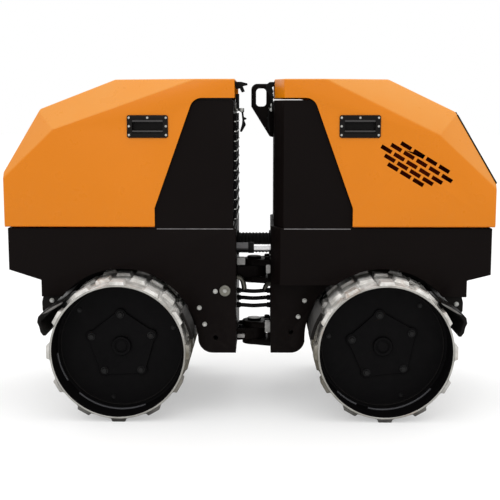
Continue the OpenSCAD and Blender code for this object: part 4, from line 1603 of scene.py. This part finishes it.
@dataclass
class Chassis(EndAssembly):
    """A module's frame, bulkhead, scrapers and fittings, in millimetres."""

    half_w: float = 290
    front_leg_y: float = 190
    wall: float = 12
    ledge_z: Span = (701.5, 705.5)
    ledge_y: Span = (-0.5, 1.6)
    ledge_r: float = 2
    ledge_out: float = 362
    lash: tuple[float, float, float] = (144, 288, 9.3)
    lash_l: float = 80
    lash_wall: float = 5
    blade_half_w: float = 415
    blade_y: Span = (-2, 1.2)
    latch_y: float = -70
    latch_face: float = 11
    plate_at: Span = (72, 1156)
    plate_out: float = 22
    plate_size: tuple[float, float, float] = (7.5, 32, 1)
    leg_bolt: Span = (144, 467)
    eye_bolt: Span = (64, 1146)
    eye_y: float = 10
    knuckle_s: float = 52
    knuckle_y: float = 42
    knuckle_z: Span = (505, 252)

    @property
    def leg_y(self) -> float:
        """Half the width of the inner leg."""
        return self.half_w if self.end is End.REAR else self.front_leg_y

    def build(self) -> None:
        """Builds the module's pieces."""
        tag, soften = self.tag, self.shop.soften
        for part in ("frame", "bulkhead", "yoke", "cylinder_bracket"):
            soften(f"{tag}_{part}", Bevelled.PLATE)
        soften(f"{tag}_hinge_lugs", Bevelled.FINE)
        soften(f"{tag}_latch", Bevelled.PLATE)
        soften(f"{tag}_fittings", Bevelled.FINE, "dark_metal")
        soften(f"{tag}_carrier", Bevelled.CAST)
        # The inner scraper's paint is grey on upward faces: painted top light
        for blade, finish in (("outer", "scraper_steel"), ("inner", "scraper_top_light_and_dust")):
            soften(f"{tag}_{blade}_scraper", Bevelled.FINE, finish)
        self.shop.keep(f"{tag}_deck")
        self.ledges()
        self.lash_tubes()
        self.blade_edges()
        self.latch_metal()
        self.bolts()

    def blade_edges(self) -> None:
        """Worn ends of the outer scraper's plates, where they catch the light."""
        bm = bmesh.new()
        back, front = (y * MM for y in self.blade_y)
        for side in SIDES:
            edge = self.end.at(self.end.axle_s + AXLE_Z, side * self.blade_half_w, AXLE_Z)
            flip = -side * self.end.value
            outline = counter_clockwise((flip * a * MM, b * MM) for a, b in BLADE_END)
            outline_slab(bm, outline, back, front, upright_at(edge, (0, side, 0)))
        self.shop.place(f"{self.tag}_blade_edges", bm, ["blade_edge"], self.end.body)

    def latch_metal(self) -> None:
        """Plated bolts of the hood latch, and the rear one's plate or the front one's strap."""
        face, out = self.latch_y - self.latch_face, (0, -1, 0)
        rows = [(self.end.at(s, face, z), out) for s, z in LATCH_BOLTS[self.end]]
        self.heads(f"{self.tag}_latch_bolts", "bright_metal", self.end.body, rows, LATCH_BOLT)
        bm = bmesh.new()
        if self.end is End.REAR:
            s, z = self.plate_at
            width, tall, half = (size * MM for size in self.plate_size)
            place = upright_at(self.end.at(s, self.latch_y - self.plate_out, z), out)
            outline_slab(bm, rounded_outline(width, tall, half, steps=2), -half, half, place)
            self.shop.place("rear_latch_plate", bm, ["blade_edge"], self.end.body)
            return
        LATCH_STRAP.add(bm, self.end)
        self.shop.place("front_latch_strap", bm, ["rubber"], self.end.body, bevel=Bevelled.FINE)

    def lash_tubes(self) -> None:
        """Tubes behind the lashing holes of the inner leg."""
        bm = bmesh.new()
        s, z, r = self.lash
        outer, low = r + self.lash_wall, self.leg_y - self.wall - self.lash_l
        corners = ((outer, 0), (outer, self.lash_l), (r, self.lash_l), (r, 0))
        profile = [(v * MM, h * MM) for v, h in corners]
        for side in SIDES:
            place = facing(self.end.at(s, side * low, z), (0, side, 0))
            lathe(bm, profile, place, sides=24, ring=True)
        self.shop.place(f"{self.tag}_lash_tubes", bm, ["frame_paint"], self.end.body)

    def ledges(self) -> None:
        """Bright edge strips under the open sides of the bulkhead."""
        bm = bmesh.new()
        inner = LEDGE_START[self.end]
        low, high = self.ledge_z
        back, front = (y * MM for y in self.ledge_y)
        size = ((self.ledge_out - inner) * MM, (high - low) * MM)
        for side in SIDES:
            middle = self.end.at((self.ledge_out + inner) / 2, side * self.half_w, (low + high) / 2)
            outline = rounded_outline(*size, self.ledge_r * MM)
            outline_slab(bm, outline, back, front, upright_at(middle, (0, side, 0)))
        name = f"{self.tag}_ledge_strips"
        self.shop.place(name, bm, ["worn_edge"], self.end.body, bevel=Bevelled.FINE)

    def bolts(self) -> None:
        """Bolts that hold scrapers, yokes and eye."""
        rear = self.end is End.REAR
        last, last_y = (self.leg_bolt, self.half_w) if rear else (self.eye_bolt, self.eye_y)
        places = [(place, self.leg_y) for place in INNER_BOLTS[self.end]]
        places += [(OUTER_BOLT[self.end], self.half_w - self.wall), (last, last_y)]
        rows = [(self.end.at(s, side * y, z), (0, side, 0)) for side in SIDES for (s, z), y in places]
        lift = KNUCKLE_LIFT[self.end]
        knuckle = [
            (self.end.at(self.knuckle_s, side * self.knuckle_y, z + lift), (0, 0, 1))
            for z in self.knuckle_z
            for side in SIDES
        ]
        self.heads(f"{self.tag}_knuckle_bolts", "dark_metal", self.end.body, knuckle, M16_BOLT)
        self.heads(f"{self.tag}_bolts", "bright_metal", self.end.body, rows, M10_BOLT)


@dataclass
class RearCooling(Assembly):
    """The radiator core behind its wire guard, hood seal and cross pin's heads, in millimetres."""

    near: float = 81
    deep: float = 60
    half_w: float = 250
    low_z: float = 726
    high_z: float = 1132
    tank: float = 34
    tank_r: float = 12
    core_inset: float = 20
    plate_y: float = 4
    plate_size: Point = (54, 8, 2)
    tubes: int = 12
    tube_edge: float = 18
    tube_size: Point = (44, 6, 2.5)
    fins: int = 62
    fin_size: Point = (52, 484, 1.2)
    guard_in: float = 62
    guard_out: float = 76
    wire_r: float = 2.1
    wire_bend: float = 8.0
    bend_steps: int = 5
    rod_gap: float = 1
    rungs: int = 11
    rung_z: float = 1100
    rung_pitch: float = 36.3
    blinds: int = 60
    blind_pitch: float = 8.0
    blind_in: float = 4.6
    blind_size: Span = (9.0, 1.2)
    blind_gap: float = 4
    seal_s: Span = (82, 236)
    seal_y: float = 282
    seal_z: float = 1184
    seal_tall: float = 26
    seal_r: float = 4
    seal_t: Span = (-4, 3)

    @property
    def middle_z(self) -> float:
        """Height of the middle of the core."""
        return (self.low_z + self.high_z) / 2

    @property
    def tall(self) -> float:
        """Height of the core."""
        return self.high_z - self.low_z

    def build(self) -> None:
        """Builds guard, seal, pin heads and core."""
        self.guard()
        self.seal()
        self.pin_screws(self.shop.soften("rear_pin_heads", Bevelled.PLATE, "dull_zinc"))
        self.core()

    def core(self) -> None:
        """The radiator: two tanks, side plates and tubes between them, and fins."""
        bm = bmesh.new()
        middle, half = self.near + self.deep / 2, self.tank / 2
        for z in (self.low_z + half, self.high_z - half):
            outline = rounded_outline(self.deep * MM, 2 * self.half_w * MM, self.tank_r * MM)
            place = Matrix.Translation(End.REAR.at(middle, 0, z))
            outline_slab(bm, outline, -half * MM, half * MM, place)
        first = -self.half_w + self.tube_edge
        pitch = 2 * (self.half_w - self.tube_edge) / (self.tubes - 1)
        uprights = [(side * (self.half_w - self.plate_y), self.plate_size) for side in SIDES]
        uprights += [(first + i * pitch, self.tube_size) for i in range(self.tubes)]
        reach = (self.tall / 2 - self.core_inset) * MM
        for y, size in uprights:
            place = Matrix.Translation(End.REAR.at(middle, y, self.middle_z))
            outline_slab(bm, rounded_outline(*(Vector(size) * MM)), -reach, reach, place)
        name, node = "rear_radiator_frame", "rear_radiator"
        self.shop.place(name, bm, ["dark_metal"], End.REAR.body, [node], Bevelled.PLATE)
        pitch = (self.tall - 2 * self.tank) / (self.fins + 1)
        self.trees.slats.run(
            "rear_radiator_fins",
            self.shop,
            "core_fins",
            End.REAR.body,
            Count=self.fins,
            Start=Vector(End.REAR.at(middle, 0, self.low_z + self.tank + pitch)),
            Pitch=Vector((0, 0, pitch * MM)),
            Size=Vector(self.fin_size) * MM,
        )

    def pin_screws(self, pins: Piece) -> None:
        """The screws in the middle of the cross pin's heads.

        Args:
            pins: the piece of both heads.
        """
        rows: Rows = []
        for side in SIDES:
            head = [v.co for v in pins.data.vertices if v.co.y * side > 0]
            x, z = [(min(axis) + max(axis)) / 2 for axis in zip(*((c.x, c.z) for c in head))]
            rows.append(((x, max(c.y * side for c in head) * side, z), (0, side, 0)))
        self.heads("rear_pin_screws", "bright_metal", End.REAR.body, rows, LATCH_BOLT)

    def guard(self) -> None:
        """The guard: level wires bent back at both sides, on rods, before a screen of upright slats."""
        bend, r = self.wire_bend, self.wire_r
        reach, front, back = self.half_w - r, self.guard_in + r, self.guard_out - r
        arc = [math.pi / 2 * k / self.bend_steps for k in range(self.bend_steps + 1)]
        side = [(back, reach)]
        side += [(front + bend - bend * math.sin(a), reach - bend + bend * math.cos(a)) for a in arc]
        path = [(s, -y) for s, y in side] + side[::-1]
        self.trees.wires.run(
            "rear_guard_wires",
            self.shop,
            "bright_metal",
            End.REAR.body,
            path_mesh([End.REAR.at(s, y, self.rung_z) for s, y in path]),
            ["rear_guard"],
            Count=self.rungs,
            Pitch=Vector((0, 0, -self.rung_pitch * MM)),
            Radius=r * MM,
        )
        rods = ((back, -reach), (back, reach), (front + 2 * r, reach - 3 * r))
        for k, (s, y) in enumerate(rods):
            heights = (self.low_z + self.rod_gap, self.high_z - self.rod_gap)
            ends = path_mesh([End.REAR.at(s, y, z) for z in heights])
            name = f"rear_guard_rod_{k}"
            self.trees.wires.run(
                name, self.shop, "dark_metal", End.REAR.body, ends, Count=1, Radius=r * MM
            )
        first = -self.blind_pitch * (self.blinds - 1) / 2
        self.trees.slats.run(
            "rear_guard_screen",
            self.shop,
            "dark_metal",
            End.REAR.body,
            Count=self.blinds,
            Start=Vector(End.REAR.at(self.guard_out - self.blind_in, first, self.middle_z)),
            Pitch=Vector((0, self.blind_pitch * MM, 0)),
            Size=Vector((*self.blind_size, self.tall - self.blind_gap)) * MM,
        )

    def seal(self) -> None:
        """Rubber strips that close the gap between bulkhead and hood on both sides."""
        bm = bmesh.new()
        low, high = self.seal_s
        back, front = (t * MM for t in self.seal_t)
        for side in SIDES:
            middle = End.REAR.at((low + high) / 2, side * self.seal_y, self.seal_z)
            outline = rounded_outline((high - low) * MM, self.seal_tall * MM, self.seal_r * MM)
            outline_slab(bm, outline, back, front, upright_at(middle, (0, side, 0)))
        self.shop.place("rear_hood_seal", bm, ["rubber"], End.REAR.body, bevel=Bevelled.FINE)


@dataclass
class SteeringLink(Assembly):
    """Pivot pins, steering cylinder, hoses and harness sleeve between the modules, in millimetres."""

    inner: Span = (PIVOT_X - 67, PIVOT_X + 65)
    bend_z: float = 400
    hose_z: tuple[float, ...] = (431, 397, 378)
    hose_y: tuple[float, ...] = (-70, -40, -96)
    hose_r: float = 8
    hose_sag: float = 3
    hose_steps: int = 24
    hose_plug: float = 3
    fitting: float = 14
    gland: float = 22.5
    elbow_y: Span = (-94, 22)
    elbow_r: float = 10.5
    block_y: float = -78
    block_half: float = 12
    block_r: float = 4
    sleeve_z: float = 615
    sleeve_r: float = 41
    sleeve_in: float = 6
    ribs: int = 9
    rib_depth: float = 1.5

    def build(self) -> None:
        """Builds the link's pieces."""
        self.pins()
        self.barrel()
        self.shop.keep("steering_rod")
        self.hoses()
        self.elbows()
        self.sleeve()

    def pins(self) -> None:
        """The pivot pins: the lower one's head is bare on top."""
        bm = self.shop.copy_of("pivot_pins")
        for face in bm.faces:
            low = face.calc_center_median().z < self.hose_z[-1] * MM
            face.material_index = 1 if low and face.normal.z > SQUARE else 0
        finishes, node = ["dark_metal", "cast_zinc"], "pivot_pins"
        self.shop.place(f"{node}_shape", bm, finishes, End.FRONT.body, [node], Bevelled.PLATE)

    def barrel(self) -> None:
        """The cylinder's barrel, grey on its upper half as painted highlight, with its black gland."""
        bm = self.shop.copy_of("steering_barrel")
        end = max(v.co.x for v in bm.verts)
        for face in bm.faces:
            face.material_index = 1 if face.calc_center_median().x > end - self.gland * MM else 0
        finishes, node = ["cylinder_paint_highlit", "rubber"], "steering_barrel"
        self.shop.place(f"{node}_shape", bm, finishes, "cylinder_barrel", [node], Bevelled.PLATE)

    def span(self, inset: float) -> Span:
        """Both ends in millimetres of what spans the joint, each set in from its wall."""
        return self.inner[0] + inset, self.inner[1] - inset

    def bend(self, piece: Piece, inset: float) -> None:
        """Bakes a piece's placement into its mesh.

        Args:
            piece: the piece.
            inset: how far its ends lie from the walls in millimetres; not used.
        """
        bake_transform(piece)

    def hoses(self) -> None:
        """Rubber hoses with a slight sag."""
        bm = bmesh.new()
        low, high = self.span(self.fitting - self.hose_plug)
        for y, z in zip(self.hose_y, self.hose_z):
            path = []
            for i in range(self.hose_steps + 1):
                t = i / self.hose_steps
                drop = self.hose_sag * math.sin(math.pi * t) ** 2
                path.append(Vector((low + (high - low) * t, y, z - drop)) * MM)
            tube(bm, path, self.hose_r * MM)
        self.bend(self.shop.place("steering_hoses", bm, ["rubber"], None, ["hoses"]), self.fitting)

    def elbows(self) -> None:
        """Plated elbows over the upper hose and clamp blocks beside the knuckles."""
        first, across = self.elbow_y
        half = self.block_half * MM
        for end, path in ELBOWS.items():
            bm = bmesh.new()
            last = len(path) - 1
            middle = [Vector(end.at(s, first + across * k / last, z)) for k, (s, z) in enumerate(path)]
            if end is End.FRONT:
                middle.reverse()
            tube(bm, middle, self.elbow_r * MM)
            for s, z, width, tall in CLAMP_BLOCKS[end]:
                outline = rounded_outline(width * MM, tall * MM, self.block_r * MM)
                place = side_view(end.at(s, self.block_y, z))
                for face in outline_slab(bm, outline, -half, half, place):
                    face.material_index = 1
            finishes = ["dull_zinc", "cast_zinc"]
            self.shop.place(f"{end.tag}_elbows", bm, finishes, end.body, bevel=Bevelled.FINE)

    def sleeve(self) -> None:
        """The ribbed sleeve over the wiring harness."""
        low, high = self.span(self.sleeve_in)
        piece = self.trees.sleeve.run(
            "harness_sleeve_ribbed",
            self.shop,
            "rubber",
            None,
            replaces=["harness_sleeve"],
            Start=Vector((low, 0, self.sleeve_z)) * MM,
            End=Vector((high, 0, self.sleeve_z)) * MM,
            Radius=(self.sleeve_r - self.rib_depth) * MM,
            Rib_Depth=self.rib_depth * MM,
            Ribs=self.ribs,
        )
        self.bend(piece, self.sleeve_in)


@dataclass
class Studio:
    """Camera, floor, lamps and surroundings."""

    lens: float = 72
    sensor: float = 36
    eye: Point = (0.047, -3.994, 1.145)
    tilt: float = 8.0
    yaw: float = 0.69
    floor_size: float = 40
    floor_colour: Colour = (0.55, 0.55, 0.55)
    floor_patch: Colour = (0.56, 0.56, 0.557)
    floor_glow: float = 0.42
    sky: Span = (1.07, 1.27)

    def build(self) -> None:
        """Builds the studio."""
        scene = bpy.context.scene
        scene.view_settings.view_transform = "Standard"
        self.camera(scene)
        self.floor(scene)
        self.lamps(scene)
        self.surroundings(scene)

    def camera(self, scene: bpy.types.Scene) -> None:
        """The camera at the photograph's place.

        Args:
            scene: the scene.
        """
        data = bpy.data.cameras.new("camera")
        data.lens, data.sensor_width = self.lens, self.sensor
        made = bpy.data.objects.new("camera", data)
        yaw = Matrix.Rotation(math.radians(self.yaw), 4, "Z")
        tilt = Matrix.Rotation(math.radians(90 - self.tilt), 4, "X")
        made.matrix_world = Matrix.Translation(self.eye) @ yaw @ tilt
        scene.collection.objects.link(made)
        scene.camera = made

    def floor(self, scene: bpy.types.Scene) -> None:
        """A wide pale floor that takes the shadow and runs out to the white of the surroundings.

        Args:
            scene: the scene.
        """
        mesh = bpy.data.meshes.new("floor")
        bm = bmesh.new()
        bmesh.ops.create_grid(bm, x_segments=8, y_segments=8, size=self.floor_size)
        bm.to_mesh(mesh)
        bm.free()
        shade = Shade("pale floor")
        tone = shade.mix(shade.pattern(0.8, 3, MID_NOISE), self.floor_colour, self.floor_patch)
        shade.paint(tone, shade.pattern(5, 3, MID_NOISE, (0.85, 0.95)))
        glow = shade.range(shade.seen(), (0, 1), (0, self.floor_glow))
        shade.set(Specular_IOR_Level=0.0, Emission_Strength=glow)
        mesh.materials.append(shade.material)
        floor = bpy.data.objects.new("floor", mesh)
        scene.collection.objects.link(floor)

    def lamps(self, scene: bpy.types.Scene) -> None:
        """Weak soft boxes over the bright surroundings: one over the camera, one on top.

        Args:
            scene: the scene.
        """
        # name, place, aim, size in metres and watts
        rows = (
            ("key", (-1.8, -4.4, 3.4), (0, 0, 0.7), 2.4, 26),
            ("top", (0.4, 0.4, 4.4), (0, 0, 0.6), 3.0, 40),
        )
        for name, place, aim, size, watts in rows:
            data = bpy.data.lights.new(name, "AREA")
            data.shape, data.size, data.energy = "SQUARE", size, watts
            made = bpy.data.objects.new(name, data)
            look = (Vector(aim) - Vector(place)).to_track_quat("-Z", "Y").to_matrix().to_4x4()
            made.matrix_world = Matrix.Translation(place) @ look
            scene.collection.objects.link(made)

    def surroundings(self, scene: bpy.types.Scene) -> None:
        """White behind the machine and in mirrors, and for light a sky that is brighter overhead.

        Args:
            scene: the scene.
        """
        world = bpy.data.worlds.new("surroundings")
        world.use_nodes = True
        graph = Graph(world.node_tree)
        white = graph.tree.nodes["Background"]
        fill = graph.node("ShaderNodeBackground")
        rise = graph.axis(graph.node("ShaderNodeTexCoord").outputs["Generated"], "Z")
        graph.fill(white, Color=(1, 1, 1, 1), Strength=1.0)
        graph.fill(fill, Color=(1, 1, 1, 1), Strength=graph.range(rise, (0, 1), self.sky))
        mix = graph.fill(graph.node("ShaderNodeMixShader"), Fac=graph.seen())
        graph.link(fill.outputs[0], mix.inputs[1])
        graph.link(white.outputs[0], mix.inputs[2])
        graph.link(mix.outputs[0], graph.tree.nodes["World Output"].inputs["Surface"])
        scene.world = world


def main() -> None:
    """Builds the roller's looks in order."""
    logging.basicConfig(level=logging.INFO, format="%(name)s %(message)s")
    shop = Workshop(frame)
    trees = Trees()
    Studio().build()
    for end in End:
        Chassis(shop, trees, end).build()
        Drum(shop, trees, end).build()
        Hood(shop, trees, end).build()
    RearCooling(shop, trees).build()
    shop.keep("front_engine")
    shop.soften("front_lift_eye", Bevelled.PLATE)
    SteeringLink(shop, trees).build()


if __name__ == "__main__":
    main()
